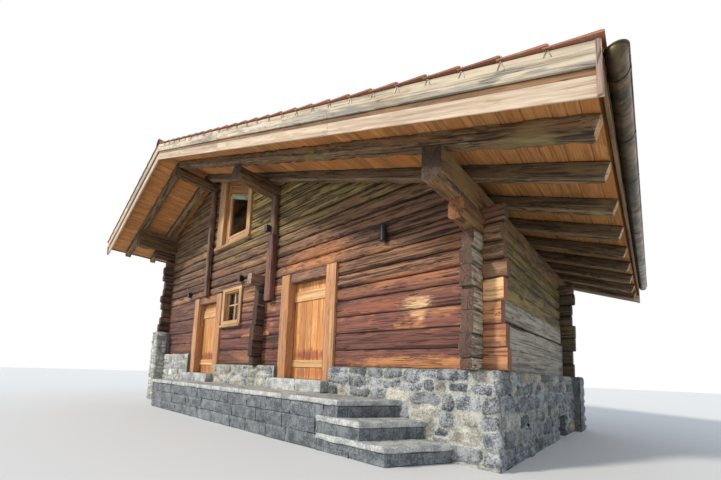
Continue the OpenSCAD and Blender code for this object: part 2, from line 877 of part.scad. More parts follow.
// Windows
module window_frame(x, w, z, h) {
    side = w / 2 + frame_w;
    difference() {
        union() {
            block(-x - side, -x + side, -frame_out, 0, z - frame_w, z + h + frame_w);
            block(-x - w / 2, -x + w / 2, -frame_out, log_t, z, z + h);
            block(-x - side - frame_in, -x + side + frame_in, -frame_out - win_sill_out, 0,
                z - frame_w - win_sill_h, z - frame_w);
        }
        block(-x - w / 2 + frame_in, -x + w / 2 - frame_in, -frame_out - over, log_t + over,
            z + frame_in, z + h - frame_in);
    }
}

module small_window() {
    color("burlywood") in_frame() window_frame(small_x, small_w, small_z, small_h);
}

// The upper window stands between posts that reach up to the roof, so its head is slanted
module upper_part(side, z0, depth, y0, y1) {
    intersection() {
        block(-upper_x - side, -upper_x + side, y0, y1, z0, ridge_z);
        under_roof(depth, y0 - over, y1 + over);
    }
}

module upper_window() {
    side = upper_side + frame_in;
    color("burlywood") in_frame() union() {
        difference() {
            upper_part(upper_side, upper_z, board_t + seat, -frame_out, log_t);
            upper_part(upper_w / 2, upper_z, 0, -frame_out - over, upper_in);
            upper_part(upper_w / 2, upper_z, 0, upper_in + upper_board_t, log_t + over);
            upper_part(upper_glass, upper_z + upper_glass_z, upper_top, 0, log_t);
        }
        block(-upper_x - side, -upper_x + side, -frame_out - win_sill_out, 0, upper_z - upper_sill_h, upper_z);
    }
}

module pane(x, w, z, h) {
    block(-x - w / 2 + frame_in, -x + w / 2 - frame_in, log_t / 2, log_t / 2 + glass_t,
        z + frame_in, z + h - frame_in);
}

module window_glass() {
    color("lightblue") in_frame() union() {
        pane(small_x, small_w, small_z, small_h);
        upper_part(upper_glass, upper_z + upper_glass_z, upper_top + seat, log_t / 2, log_t / 2 + glass_t);
    }
}

// Small lamps on the front wall: a long one, and boxes at the doors, the cross wall and the
// middle post
lamp_x = 1430;
lamp_z = 1850;
lamp_arm = 30;
box_lamps = [[-8170, 0, 1840], [-5450, 0, 1880], [-4415, 0, 1320], [-4290, -post_out, 2700]];
module wall_lamps() {
    color("dimgray") in_frame() {
        union() {
            translate([-lamp_x, -lamp_r - lamp_arm / 2, lamp_z]) cylinder(h = lamp_h, r = lamp_r);
            block(-lamp_x - lamp_arm, -lamp_x + lamp_arm, -lamp_arm, 0,
                lamp_z + lamp_h / 3, lamp_z + lamp_h * 2 / 3);
        }
        for (p = box_lamps) {
            block(p[0] - box_lamp / 2, p[0] + box_lamp / 2, p[1] - box_lamp, p[1], p[2], p[2] + box_lamp_h);
        }
    }
}

base_front();
base_rear();
base_left();
base_right();
ground_floor();
upper_floor();
front_wall_right();
front_wall_middle();
front_wall_left();
front_gable();
rear_wall();
right_wall();
left_wall();
cross_wall();
gable_posts();
ridge_purlin();
middle_purlin();
right_plate();
left_plate();
right_rafters();
left_rafters();
right_boarding();
left_boarding();
right_tiles();
left_tiles();
ridge_tiles();
verge_upper_boards();
verge_lower_boards();
eave_boards();
gutter();
gutter_brackets();
thresholds();
entrance_steps();
right_cladding();
door_1_frame();
door_1_leaf();
door_1_straps();
door_2_frame();
door_2_leaf();
door_2_straps();
door_hinges();
small_window();
upper_window();
window_glass();
wall_lamps();
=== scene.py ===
# %% [markdown]
# This scene dresses an alpine log house. The frame brings every solid of the CAD model in
# metres. The solids could simply get materials, but logs, rubble, boards, tiles and slabs look
# right only with shapes of their own, so most solids are replaced by finer pieces.

# %% The frame
import math

import bpy
import numpy as np
from mathutils import Matrix, Vector


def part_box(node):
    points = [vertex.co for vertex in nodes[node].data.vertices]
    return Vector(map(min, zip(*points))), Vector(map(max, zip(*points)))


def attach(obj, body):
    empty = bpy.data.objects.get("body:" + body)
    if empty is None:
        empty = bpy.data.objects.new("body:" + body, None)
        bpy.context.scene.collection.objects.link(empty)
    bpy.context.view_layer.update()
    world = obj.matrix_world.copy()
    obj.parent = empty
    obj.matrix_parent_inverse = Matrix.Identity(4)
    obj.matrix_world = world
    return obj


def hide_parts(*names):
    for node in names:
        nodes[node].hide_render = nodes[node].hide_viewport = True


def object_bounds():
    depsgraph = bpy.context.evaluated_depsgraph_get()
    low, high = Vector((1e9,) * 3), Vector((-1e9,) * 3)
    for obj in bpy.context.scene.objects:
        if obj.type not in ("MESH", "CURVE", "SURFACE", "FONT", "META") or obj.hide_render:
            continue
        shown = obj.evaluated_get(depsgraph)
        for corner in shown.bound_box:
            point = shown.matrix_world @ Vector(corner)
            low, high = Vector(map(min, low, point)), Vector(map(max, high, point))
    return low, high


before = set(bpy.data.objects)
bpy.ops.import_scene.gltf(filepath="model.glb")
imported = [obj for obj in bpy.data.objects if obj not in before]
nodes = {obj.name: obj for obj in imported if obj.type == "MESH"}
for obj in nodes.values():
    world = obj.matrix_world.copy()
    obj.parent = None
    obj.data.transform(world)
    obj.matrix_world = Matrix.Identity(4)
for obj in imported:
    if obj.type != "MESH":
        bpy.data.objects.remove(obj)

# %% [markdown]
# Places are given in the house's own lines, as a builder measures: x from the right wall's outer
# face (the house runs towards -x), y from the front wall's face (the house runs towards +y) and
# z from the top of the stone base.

CAD_BOX = [list(corner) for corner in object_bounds()]
X0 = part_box("right_plate")[1][0]
Y0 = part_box("gable_posts")[1][1]
Z0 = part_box("base_right")[1][2]
print("house lines", round(X0, 3), round(Y0, 3), round(Z0, 3))


def at(x, y, z):
    return Vector((X0 + x, Y0 + y, Z0 + z))


def srgb(r, g, b):
    """A tone given from 0 to 255, as the linear colour that shaders use."""
    linear = [c / 255 / 12.92 if c < 10.3 else ((c / 255 + 0.055) / 1.055) ** 2.4 for c in (r, g, b)]
    return tuple(linear) + (1.0,)


# %% [markdown]
# The camera stands low on the path, close to the front right corner, and looks up under the
# eave. It comes first, so that every later piece can be judged from the right place. Its place
# was found from the log seams, the door posts and the roof's edges. The shift lifts the picture
# as a view camera does, so the walls lean no more than they should.

# %% Camera
CAMERA_PLACE = (1.439, -3.806, -0.08)
YAW, PITCH, ROLL = (math.radians(a) for a in (-41.76, 6.1, 2.12))
IMAGE_W, IMAGE_H = 721, 480
FOCAL_PX, CENTRE_PX = 334.7, (355.0, 337.1)
SENSOR, NEAREST, FARTHEST = 36.0, 0.05, 300

ahead = Vector((math.sin(YAW) * math.cos(PITCH), math.cos(YAW) * math.cos(PITCH), math.sin(PITCH)))
level = Vector((math.cos(YAW), -math.sin(YAW), 0))
above = level.cross(ahead)
right = level * math.cos(ROLL) + above * math.sin(ROLL)
up = above * math.cos(ROLL) - level * math.sin(ROLL)

camera_data = bpy.data.cameras.new("camera")
camera = bpy.data.objects.new("camera", camera_data)
bpy.context.scene.collection.objects.link(camera)
bpy.context.scene.camera = camera
turn = Matrix((right, up, -ahead)).transposed().to_4x4()
camera.matrix_world = Matrix.Translation(at(*CAMERA_PLACE)) @ turn
camera_data.sensor_width = SENSOR
camera_data.lens = FOCAL_PX / IMAGE_W * SENSOR
camera_data.shift_x = (IMAGE_W / 2 - CENTRE_PX[0]) / IMAGE_W
camera_data.shift_y = (CENTRE_PX[1] - IMAGE_H / 2) / IMAGE_W
camera_data.clip_start = NEAREST
camera_data.clip_end = FARTHEST
print("lens", round(camera_data.lens, 2), "shift",
      [round(camera_data.shift_x, 3), round(camera_data.shift_y, 3)])

# %% [markdown]
# Finishes are built from shader nodes. Written out, each node takes three or four lines, so a
# small class adds, fills and links them. Its methods say what they do to a value.

# %% Node helpers
class Nodes:
    """Adds and links nodes in one node tree."""

    def __init__(self, tree):
        self.tree = tree

    def put(self, socket, value):
        if isinstance(value, bpy.types.NodeSocket):
            self.tree.links.new(value, socket)
        else:
            socket.default_value = value

    def add(self, kind, values=None, **settings):
        """A node with its settings, and with values or links on its inputs, by name or number."""
        node = self.tree.nodes.new(kind)
        for name, value in settings.items():
            setattr(node, name, value)
        for socket, value in (values or {}).items():
            self.put(node.inputs[socket], value)
        return node

    def math(self, operation, a, b=0.0):
        return self.add("ShaderNodeMath", {0: a, 1: b}, operation=operation).outputs[0]

    def plus(self, a, b):
        return self.math("ADD", a, b)

    def minus(self, a, b):
        return self.math("SUBTRACT", a, b)

    def times(self, a, b):
        return self.math("MULTIPLY", a, b)

    def sway(self, value, amount):
        """A value's swing about its middle, one half, made smaller or larger."""
        return self.times(self.minus(value, 0.5), amount)

    def noise(self, vector, scale, detail=3.0, rough=0.55, distortion=0.0):
        values = {"Vector": vector, "Scale": scale, "Detail": detail, "Roughness": rough,
                  "Distortion": distortion}
        return self.add("ShaderNodeTexNoise", values).outputs["Fac"]

    def step(self, value, low, high, to_low=0.0, to_high=1.0):
        values = {"Value": value, "From Min": low, "From Max": high, "To Min": to_low, "To Max": to_high}
        return self.add("ShaderNodeMapRange", values, interpolation_type="SMOOTHSTEP").outputs["Result"]

    def line(self, value, middle, width):
        """1 where a value comes near its middle, so a noise draws thin wandering lines."""
        return self.step(self.math("ABSOLUTE", self.minus(value, middle)), 0.0, width, 1.0, 0.0)

    def mix(self, factor, a, b, blend="MIX"):
        values = {"Factor": factor, 6: a, 7: b}
        return self.add("ShaderNodeMix", values, data_type="RGBA", blend_type=blend).outputs[2]

    def value(self, colour, value):
        """A colour made darker or lighter."""
        return self.add("ShaderNodeHueSaturation", {"Value": value, "Color": colour}).outputs[0]

    def vector(self, operation, a, b):
        node = self.add("ShaderNodeVectorMath", {0: a, 1: b}, operation=operation)
        return node.outputs["Value" if operation == "LENGTH" else "Vector"]

    def scaled(self, vector, scale):
        return self.vector("MULTIPLY", vector, scale)

    def combine(self, x, y, z):
        return self.add("ShaderNodeCombineXYZ", {0: x, 1: y, 2: z}).outputs[0]

    def separate(self, vector):
        return self.add("ShaderNodeSeparateXYZ", {0: vector}).outputs

    def attribute(self, name, output="Fac"):
        return self.add("ShaderNodeAttribute", attribute_name=name).outputs[output]

    def place(self):
        return self.add("ShaderNodeTexCoord").outputs["Object"]


# %% [markdown]
# Effects that serve many materials are shader groups. Each group is a small box with named
# inputs and outputs, so the same grain, stone or spot is made once and every finish only gives
# it other values. A material keeps its own shader, and a bump node turns a height into relief.

# %% Groups and materials
def new_group(name, inputs, outputs):
    """A shader group with its sockets: (name, kind, default) for inputs and names for outputs."""
    tree = bpy.data.node_groups.new(name, "ShaderNodeTree")
    for socket, kind, default in inputs:
        made = tree.interface.new_socket(name=socket, in_out="INPUT", socket_type="NodeSocket" + kind)
        if default is not None:
            made.default_value = default
    for socket in outputs:
        tree.interface.new_socket(name=socket, in_out="OUTPUT", socket_type="NodeSocketFloat")
    n = Nodes(tree)
    return n, n.add("NodeGroupInput").outputs


def give(n, **results):
    """Ends a group: each result goes to the output of its name."""
    n.add("NodeGroupOutput", results)
    print(n.tree.name, len(n.tree.nodes), "nodes")
    return n.tree


def use_group(n, tree, **values):
    return n.add("ShaderNodeGroup", values, node_tree=tree).outputs


def new_material(name):
    material = bpy.data.materials.new(name)
    material.use_nodes = True
    return material, Nodes(material.node_tree), material.node_tree.nodes["Principled BSDF"]


def finish(n, shader, colour, roughness, height, strength, distance):
    """The three things that every finish sets: colour, roughness and a relief from a height."""
    bump = n.add("ShaderNodeBump", {"Strength": strength, "Distance": distance, "Height": height})
    for socket, value in (("Base Color", colour), ("Roughness", roughness), ("Normal", bump.outputs[0])):
        n.put(shader.inputs[socket], value)


# %% [markdown]
# Wood grain: long fibres along the timber, darker streaks, fine drying cracks and broad patches.
# The grain could follow the world's axes, but then a slanted rafter would show it crosswise. So
# each piece carries its own grain coordinates, and the fibres always run along it.

# %% Wood grain group
def make_wood_grain():
    n, i = new_group("Wood grain", [("Grain", "Vector", None), ("Fineness", "Float", 1.0)],
                     ["Fibre", "Streak", "Crack", "Patch", "Height"])
    grain, fineness = i["Grain"], i["Fineness"]
    fibre = n.noise(n.scaled(grain, (2.6, 60.0, 60.0)), fineness, 5.0, 0.7)
    streak = n.noise(n.scaled(grain, (0.75, 24.0, 24.0)), fineness, 5.0, 0.64, 0.3)
    crack = n.line(n.noise(n.scaled(grain, (1.0, 30.0, 30.0)), fineness, 2.0, 0.5, 0.2), 0.5, 0.026)
    open_part = n.step(n.noise(n.scaled(grain, (1.2, 3.0, 3.0)), 2.0, 2.0), 0.42, 0.52)
    crack = n.times(crack, open_part)
    patch = n.noise(n.scaled(grain, (1.3, 3.2, 3.2)), 1.0, 3.0, 0.6, 0.6)
    height = n.plus(n.times(fibre, 0.35), n.times(streak, 0.65))
    height = n.minus(height, n.times(crack, 0.55))
    return give(n, Fibre=fibre, Streak=streak, Crack=crack, Patch=patch, Height=height)


WOOD_GRAIN = make_wood_grain()

# %% [markdown]
# Log ends: an axe or a saw bares rings round the heart, and drying opens radial cracks. A wave
# texture could draw the rings, but the distance and the angle from the heart give both.

# %% End grain group
def make_end_grain():
    n, i = new_group("End grain", [("Grain", "Vector", None)], ["Rings", "Split"])
    x, y, z = n.separate(i["Grain"])
    radius = n.math("SQRT", n.plus(n.times(y, y), n.times(z, z)))
    wavy = n.plus(radius, n.times(n.noise(i["Grain"], 9.0, 2.0), 0.03))
    rings = n.math("ABSOLUTE", n.math("SINE", n.times(wavy, 420.0)))
    spoke = n.noise(n.combine(n.math("ARCTAN2", y, z), 0.0, n.times(x, 5.0)), 3.2, 1.0)
    return give(n, Rings=rings, Split=n.line(spoke, 0.5, 0.025))


END_GRAIN = make_end_grain()

# %% [markdown]
# A spot: one ragged patch at a named place, for a scraped log, a sunlit stretch of wood or a
# stain on a door. It could be painted on an image, but a distance to a middle point, broken up
# by noise, needs no image and keeps its size in metres.

# %% Spot group
def make_spot():
    n, i = new_group("Spot",
                     [("Place", "Vector", None), ("Middle", "Vector", (0, 0, 0)),
                      ("Size", "Vector", (1, 1, 1)), ("Grain", "Vector", None)],
                     ["Mask"])
    away = n.vector("DIVIDE", n.vector("SUBTRACT", i["Place"], i["Middle"]), i["Size"])
    ragged = n.noise(n.scaled(i["Grain"], (7.0, 34.0, 34.0)), 1.0, 5.0, 0.75)
    reach = n.plus(n.vector("LENGTH", away, (0, 0, 0)), n.times(ragged, 2.2))
    return give(n, Mask=n.step(reach, 1.45, 2.1, 1.0, 0.0))


SPOT = make_spot()

# %% [markdown]
# One function makes every timber finish. Dark and light tones follow the streaks, a third tone
# covers a share of worn patches, and the ends take a fourth. Only some timbers have the rest:
#
# - `edge`: a stain along the timber; on the shaded rafters it is painted shade on their sides
#   (its tone, where it starts and is full, how it wavers)
# - `high`: other tones above a height (dark, light, from, to, waver), strongest at the right
# - `spots`: patches at named places (middle, size, tone, strength)
# - `seam`: how dark the timber gets towards its upper and lower edge, as painted shade in the
#   seams between logs
# - `left`: how dark the wall gets towards its far left end

# %% Timber finish
NIGHT = (0.008, 0.005, 0.004, 1)
WASH_FAR, WASH_NEAR = X0 - 7.6, X0 - 5.6
DARKEST_X, FULL_X = X0 - 8.6, X0 - 5.2


def edge_stain_and_shade(n, colour, w, grain, dark, stain, start, stop, waver):
    ragged = n.plus(n.times(w["Streak"], 0.2), n.times(w["Patch"], 0.5))
    lower = n.plus(n.separate(grain)[2], n.times(n.minus(ragged, 0.35), waver))
    lower = n.times(n.step(lower, start, stop), n.step(w["Fibre"], 0.36, 0.54, 1.0, 0.45))
    return n.mix(lower, colour, n.mix(w["Fibre"], srgb(*stain), n.mix(0.5, srgb(*stain), dark)))


def high_tone(n, colour, w, high_dark, high_light, z0, z1, waver):
    rise = n.plus(n.separate(n.place())[2], n.sway(w["Patch"], waver))
    top = n.mix(n.step(w["Streak"], 0.4, 0.6), srgb(*high_dark), srgb(*high_light))
    near = n.step(n.separate(n.place())[0], WASH_FAR, WASH_NEAR, 0.25, 0.85)
    return n.mix(n.times(n.step(rise, Z0 + z0, Z0 + z1), near), colour, top)


def spot_tone(n, colour, w, grain, dark, middle, size, tone, strength):
    mask = use_group(n, SPOT, Place=n.place(), Middle=tuple(at(*middle)), Size=size, Grain=grain)["Mask"]
    wave = n.mix(n.step(w["Fibre"], 0.4, 0.65), srgb(*tone), n.mix(0.5, srgb(*tone), dark))
    return n.mix(n.times(mask, strength), colour, wave)


def end_tone(n, colour, w, grain, dark, end):
    sawn = use_group(n, END_GRAIN, Grain=grain)
    face = n.mix(n.times(sawn["Rings"], 0.35), end, n.mix(0.6, end, dark))
    face = n.mix(n.step(w["Patch"], 0.4, 0.65), face, n.mix(0.5, face, dark))
    face = n.mix(n.times(sawn["Split"], 0.8), face, NIGHT)
    return n.mix(n.attribute("end"), colour, face)


def wood(name, dark, light, patch, end=None, worn=0.5, bump=0.35, roughness=0.75, fineness=1.0,
         contrast=0.1, crack=0.8, seam=0.0, left=1.0, edge=None, high=None, spots=()):
    material, n, shader = new_material(name)
    dark = srgb(*dark)
    grain = n.attribute("grain", "Vector")
    tone = n.attribute("tone")
    w = use_group(n, WOOD_GRAIN, Grain=grain, Fineness=fineness)
    colour = n.mix(n.step(w["Streak"], 0.46 - contrast, 0.46 + contrast), dark, srgb(*light))
    spread = n.plus(w["Patch"], n.sway(tone, 0.25))
    colour = n.mix(n.step(spread, 0.62 - worn * 0.25, 0.74 - worn * 0.25), colour, srgb(*patch))
    colour = n.mix(n.times(n.step(w["Fibre"], 0.42, 0.6), 0.5), colour, n.mix(0.75, colour, dark))
    if edge:
        colour = edge_stain_and_shade(n, colour, w, grain, dark, *edge)
    if high:
        colour = high_tone(n, colour, w, *high)
    for spot in spots:
        colour = spot_tone(n, colour, w, grain, dark, *spot)
    if end:
        colour = end_tone(n, colour, w, grain, dark, srgb(*end))
    colour = n.mix(n.times(w["Crack"], crack), colour, NIGHT)
    # Painted shade in the seams between logs: near black towards the upper and lower edge.
    if seam:
        near = n.plus(n.attribute("seam"), n.sway(w["Streak"], 0.5))
        colour = n.mix(n.times(n.step(near, 0.8, 1.02), seam), colour, NIGHT)
    if left < 1:
        colour = n.value(colour, n.step(n.separate(n.place())[0], DARKEST_X, FULL_X, left, 1.0))
    colour = n.value(colour, n.plus(0.72, n.times(tone, 0.56)))
    finish(n, shader, colour, roughness, w["Height"], bump, 0.012)
    return material


# %% [markdown]
# The logs' tones are listed here. In front the lower logs are red-brown, with places that are
# scraped bare and, low on the right, painted sunlight and highlights. The gable turns olive under
# the roof, and the right wall is olive-green above grey planks. The ends that stand out past the
# corners are paler in front and on the sunny side, partly bleached and partly painted sunlight,
# and painted darker where the roof shades them.

# %% Log tones
# Spots on the red logs. The first two are wood scraped bare. The next three, low on the right, are painted
# sunlight and highlights. The last two lighten patches further left.
BARE_AND_SUNLIT_SPOTS = [((-0.9, 0.0, 0.87), (0.3, 0.4, 0.12), (250, 204, 150), 0.95),
        ((-0.84, 0.0, 0.74), (0.18, 0.4, 0.1), (240, 186, 130), 0.85),
        ((-0.9, 0.0, 0.08), (1.5, 0.4, 0.12), (214, 146, 90), 0.75),
        ((-1.7, 0.0, 0.9), (0.9, 0.4, 0.15), (178, 104, 70), 0.6),
        ((-0.9, 0.0, 1.25), (1.2, 0.4, 0.12), (200, 128, 86), 0.6),
        ((-5.0, 0.0, 0.2), (0.9, 0.4, 0.2), (196, 138, 96), 0.6),
        ((-8.4, 0.0, 0.45), (0.8, 0.4, 0.16), (186, 124, 82), 0.6)]
# A painted pool of sunlight on the gable logs above the right door.
LIT = [((-3.0, 0.0, 1.98), (1.15, 0.5, 0.3), (214, 140, 88), 0.8)]


# Logs get painted shade along their seams unless told otherwise.
def log_wood(name, *tones, bump=0.8, seam=0.85, **kind):
    return wood(name, *tones, bump=bump, seam=seam, **kind)


RED_LOGS = log_wood("red logs", (60, 36, 34), (138, 84, 68), (196, 132, 88), (92, 58, 44), worn=0.14,
                    contrast=0.08, left=0.78, spots=BARE_AND_SUNLIT_SPOTS, high=((62, 40, 30), (180, 128, 86), 1.0, 1.35, 0.3))
GABLE_LOGS = log_wood("gable logs", (48, 32, 24), (144, 102, 74), (180, 130, 90), (100, 80, 62), worn=0.1,
                      contrast=0.07, left=0.82, spots=LIT, high=((64, 54, 30), (186, 160, 94), 2.2, 3.1, 1.2))
OLIVE_LOGS = log_wood("olive logs", (54, 44, 28), (124, 106, 62), (142, 124, 70), (110, 84, 62), worn=0.3,
                      seam=0.8, high=((70, 60, 28), (138, 120, 58), 1.1, 1.7, 0.5))
GREY_ENDS = log_wood("weathered log ends", (92, 80, 66), (196, 182, 156), (160, 136, 108), (108, 74, 60),
                     worn=0.3)
CROSS_ENDS = log_wood("cross wall ends", (44, 32, 28), (118, 88, 70), (150, 118, 92), (84, 60, 48), worn=0.1)
REAR_ENDS = log_wood("rear log ends", (50, 42, 32), (118, 100, 76), (140, 114, 84), (96, 74, 56), worn=0.3)
# The lower corner ends: bleached wood with painted sunlight on it.
BLEACHED_SUNLIT_ENDS = log_wood("sunlit log ends", (140, 84, 58), (222, 158, 108), (236, 186, 132), (132, 86, 62),
                     worn=0.4, bump=0.6, seam=0.7)
BROWN_ENDS = log_wood("upper log ends", (84, 62, 44), (168, 128, 94), (150, 122, 92), (120, 86, 62),
                      worn=0.35, seam=0.8)
CROSS_TOP_END = wood("cross wall top end", (92, 70, 58), (160, 128, 106), (176, 142, 116), (214, 180, 156),
                     worn=0.2, bump=0.6, crack=0.5)
print("log finishes ready")

# %% [markdown]
# The roof's timbers. Their hewn sides are brown, and their cut tips are pale, because the
# overhang keeps the rain off. The rafters between the gables get painted shade on their sides and
# stay pale only underneath. The boards at the roof's edge are newer, and cream or grey.

# %% Roof tones
RAFTER_TIP = (226, 178, 128)
PURLINS = wood("purlins", (52, 40, 28), (138, 106, 68), (132, 106, 68), (80, 62, 46), worn=0.3, bump=0.9)
CORBEL_LOG = wood("corbel log", (92, 68, 42), (156, 114, 70), (176, 126, 74), (198, 128, 76), worn=0.4,
                  bump=0.7)
RAFTERS = wood("rafters", (46, 36, 28), (146, 118, 82), (146, 126, 82), RAFTER_TIP, worn=0.15, bump=0.9)
# The shaded rafters get painted shade on their sides through the edge stain; only their undersides stay pale.
SHADED_RAFTERS = wood("shaded rafters", (60, 48, 34), (158, 130, 92), (160, 136, 92), RAFTER_TIP, worn=0.15,
                      bump=0.9, edge=((56, 42, 32), -0.074, -0.058, 0.08))
SOFFIT = wood("soffit boards", (168, 112, 60), (216, 152, 88), (192, 126, 66), bump=0.2, fineness=1.3,
              crack=0.4)
VERGE_GREY = wood("upper verge boards", (164, 148, 126), (232, 214, 184), (204, 176, 140), worn=0.3,
                  fineness=1.2, edge=((142, 142, 138), -0.02, -0.06, 1.0), crack=0.6)
VERGE_CREAM = wood("lower verge boards", (168, 142, 116), (224, 204, 178), (196, 172, 142), worn=0.4,
                   bump=0.2, contrast=0.2, crack=0.35)
# Painted shade: the strip set back under the upper verge board is brown for the shade in its recess.
RECESS_SHADE_STRIP = wood("verge strip", (100, 72, 48), (156, 118, 80), (128, 90, 58), bump=0.3)
EAVE_WOOD = wood("eave boards", (96, 70, 48), (150, 116, 80), (124, 92, 60), bump=0.3)
PINK_BOARD = wood("verge end boards", (132, 106, 94), (188, 156, 138), (164, 132, 112), bump=0.3)
print("roof timber finishes ready")

# %% [markdown]
# Doors, windows and posts. The doors are the warmest wood on the house, with a red stain low on
# each leaf. The gable's posts are painted red or left bare, and the planks are old and grey.

# %% Door, window and post tones
STAINS = ((0.2, 0.14, (146, 64, 38), 0.9), (-0.1, 0.12, (178, 100, 62), 0.6))
DOOR_STAINS = [((x, 0.1, z), (0.62, 0.5, height), stain, share) for x in (-7.03, -3.13)
               for z, height, stain, share in STAINS]
DOOR_BOARDS = wood("door boards", (188, 114, 56), (230, 172, 106), (214, 146, 80), worn=0.4, bump=0.2,
                   roughness=0.55, spots=DOOR_STAINS, crack=0.35)
DOOR_BATTENS = wood("door battens", (202, 142, 82), (238, 194, 136), (224, 168, 104), (200, 140, 90),
                    worn=0.4, bump=0.2, roughness=0.55, crack=0.4)
DOOR_POSTS = wood("door posts", (146, 98, 66), (206, 156, 112), (190, 136, 92), (150, 104, 72), worn=0.45,
                  bump=0.3, crack=0.5)
LINTEL = wood("door heads", (70, 48, 44), (138, 102, 84), (164, 116, 80), worn=0.25, bump=0.5)
GREY_PLANKS = wood("grey planks", (112, 104, 92), (186, 178, 160), (158, 146, 122), (130, 116, 98), worn=0.35,
                   bump=0.8)
WINDOW_WOOD = wood("window wood", (164, 118, 78), (216, 176, 128), (196, 148, 102), worn=0.35, bump=0.25,
                   crack=0.5)
HEAD_BOARD = wood("window head", (140, 90, 50), (196, 138, 84), (172, 112, 64), bump=0.3)
GREEN_RAIL = wood("window top rail", (150, 160, 124), (190, 196, 160), (176, 182, 142), bump=0.2)
RED_POST = wood("red post", (84, 50, 44), (156, 108, 90), (132, 92, 74), (80, 50, 40), worn=0.3, bump=0.6)
GREY_POST = wood("grey post", (70, 50, 40), (136, 106, 84), (142, 96, 74), (80, 60, 46), worn=0.35, bump=0.8)
FLOOR_WOOD = wood("floor boards", (92, 62, 40), (150, 108, 72), (126, 88, 58), bump=0.25)
print("joinery finishes ready")

# %% [markdown]
# Stone: a speckle of small crystals, broad clouds, and pale veins. The group serves the rubble,
# the split slabs, the clay of the tiles and the mortar, each with its own tones.

# %% Stone group
def make_stone():
    n, i = new_group("Stone", [("Place", "Vector", None), ("Scale", "Float", 1.0)],
                     ["Speckle", "Cloud", "Vein", "Height"])
    place = n.scaled(i["Place"], n.combine(i["Scale"], i["Scale"], i["Scale"]))
    speckle = n.noise(place, 48.0, 5.0, 0.7)
    cloud = n.noise(place, 7.0, 4.0, 0.6, 0.3)
    vein = n.line(n.noise(n.scaled(place, (1.0, 1.0, 2.2)), 6.0, 3.0, 0.55, 1.4), 0.5, 0.014)
    vein = n.times(vein, n.step(n.noise(place, 3.1, 2.0), 0.5, 0.62))
    height = n.plus(n.times(speckle, 0.5), n.times(cloud, 0.5))
    return give(n, Speckle=speckle, Cloud=cloud, Vein=vein, Height=height)


STONE = make_stone()

# %% [markdown]
# The stone finish mixes three kinds of stone by a value that each stone carries: blue-grey
# limestone, cream and ochre. Mortar fills what lies between them. The `end` value marks split
# edges, which are paler than the worn faces, `marks` adds the upright strokes of a chisel, and a
# last value paints shade, a cool darker tint, over a wall's side that faces right, whose stones
# are also a little darker of their own.

# %% Stone finish
def masonry(name, blue, cream, ochre, mortar=None, edge=None, scale=1.0, bump=0.5, vein=0.35,
                   marks=False, damp=None):
    """Each kind of stone is a pair of tones, dark and light."""
    material, n, shader = new_material(name)
    s = use_group(n, STONE, Place=n.place(), Scale=scale)
    fleck = n.plus(n.times(s["Speckle"], 0.55), n.times(s["Cloud"], 0.45))
    fleck = n.step(fleck, 0.4, 0.6)

    def flecked(pair):
        return n.mix(fleck, srgb(*pair[0]), srgb(*pair[1]))

    kind = n.plus(n.attribute("kind"), n.sway(s["Cloud"], 0.3))
    colour = n.mix(n.step(kind, 0.35, 0.5), flecked(blue), flecked(cream))
    colour = n.mix(n.step(kind, 0.72, 0.84), colour, flecked(ochre))
    colour = n.mix(n.times(s["Vein"], vein), colour, srgb(214, 214, 208))
    colour = n.value(colour, n.plus(0.7, n.times(n.attribute("tone"), 0.6)))
    if edge:
        colour = n.mix(n.times(n.attribute("end"), 0.7), colour, flecked(edge))
    if mortar:
        joint = n.plus(n.attribute("mortar"), n.sway(s["Speckle"], 0.8))
        colour = n.mix(n.step(joint, 0.42, 0.62), colour, flecked(mortar))
    # Painted shade, with the stones a little darker of their own, on the side that faces right.
    if damp:
        colour = n.mix(n.attribute("damp"), colour, n.mix(1.0, colour, damp, "MULTIPLY"))
    height = s["Height"]
    if marks:
        chisel = n.noise(n.scaled(n.place(), (70.0, 70.0, 5.0)), 1.0, 2.0)
        height = n.plus(height, n.times(chisel, 0.8))
        colour = n.mix(n.times(n.step(chisel, 0.5, 0.62), 0.4), colour, srgb(*blue[0]))
    finish(n, shader, colour, n.step(s["Speckle"], 0.3, 0.7, 0.72, 0.92), height, bump, 0.02)
    return material


# %% [markdown]
# The rubble in front is blue-grey with pale mortar. Its right side is darker, partly in its own
# stone and partly by painted shade. The pier at the left is paler, the hidden sides are darker.
# The slabs of landing and steps show light split edges over dark risers.

# %% Stone tones
CREAM = ((124, 120, 108), (200, 196, 182))
OCHRE = ((146, 126, 102), (206, 188, 156))
# A cool darkening for the side that faces right: painted shade, over stones a little darker of their own.
SHADE_AND_DARKER_STONE = (0.66, 0.69, 0.72, 1.0)
FRONT_STONE = masonry("front rubble", ((68, 74, 80), (172, 174, 174)), CREAM, OCHRE,
                      ((132, 132, 124), (200, 199, 190)), bump=0.8, damp=SHADE_AND_DARKER_STONE)
DARK_STONE = masonry("side rubble", ((70, 76, 82), (146, 150, 152)), ((92, 96, 98), (158, 158, 152)),
                     ((120, 112, 98), (176, 166, 140)), ((66, 72, 76), (122, 126, 126)), bump=0.7)
PALE_STONE = masonry("pier rubble", ((112, 116, 118), (212, 212, 206)), ((150, 148, 138), (218, 214, 202)),
                     OCHRE, ((112, 110, 104), (170, 168, 160)), bump=0.7)
CORE_STONE = masonry("wall core", ((96, 98, 100), (150, 150, 146)), CREAM, OCHRE, scale=0.8)
SLAB_STONE = masonry("split slabs", ((128, 130, 126), (196, 196, 188)), ((132, 132, 120), (186, 184, 168)),
                     OCHRE, edge=((158, 162, 164), (218, 219, 216)), vein=0.2)
RISER_STONE = masonry("dark risers", ((62, 68, 74), (132, 136, 138)), ((110, 108, 98), (160, 156, 140)),
                      OCHRE, edge=((96, 102, 106), (150, 154, 154)), vein=0.15, marks=True)
print("stone finishes ready")

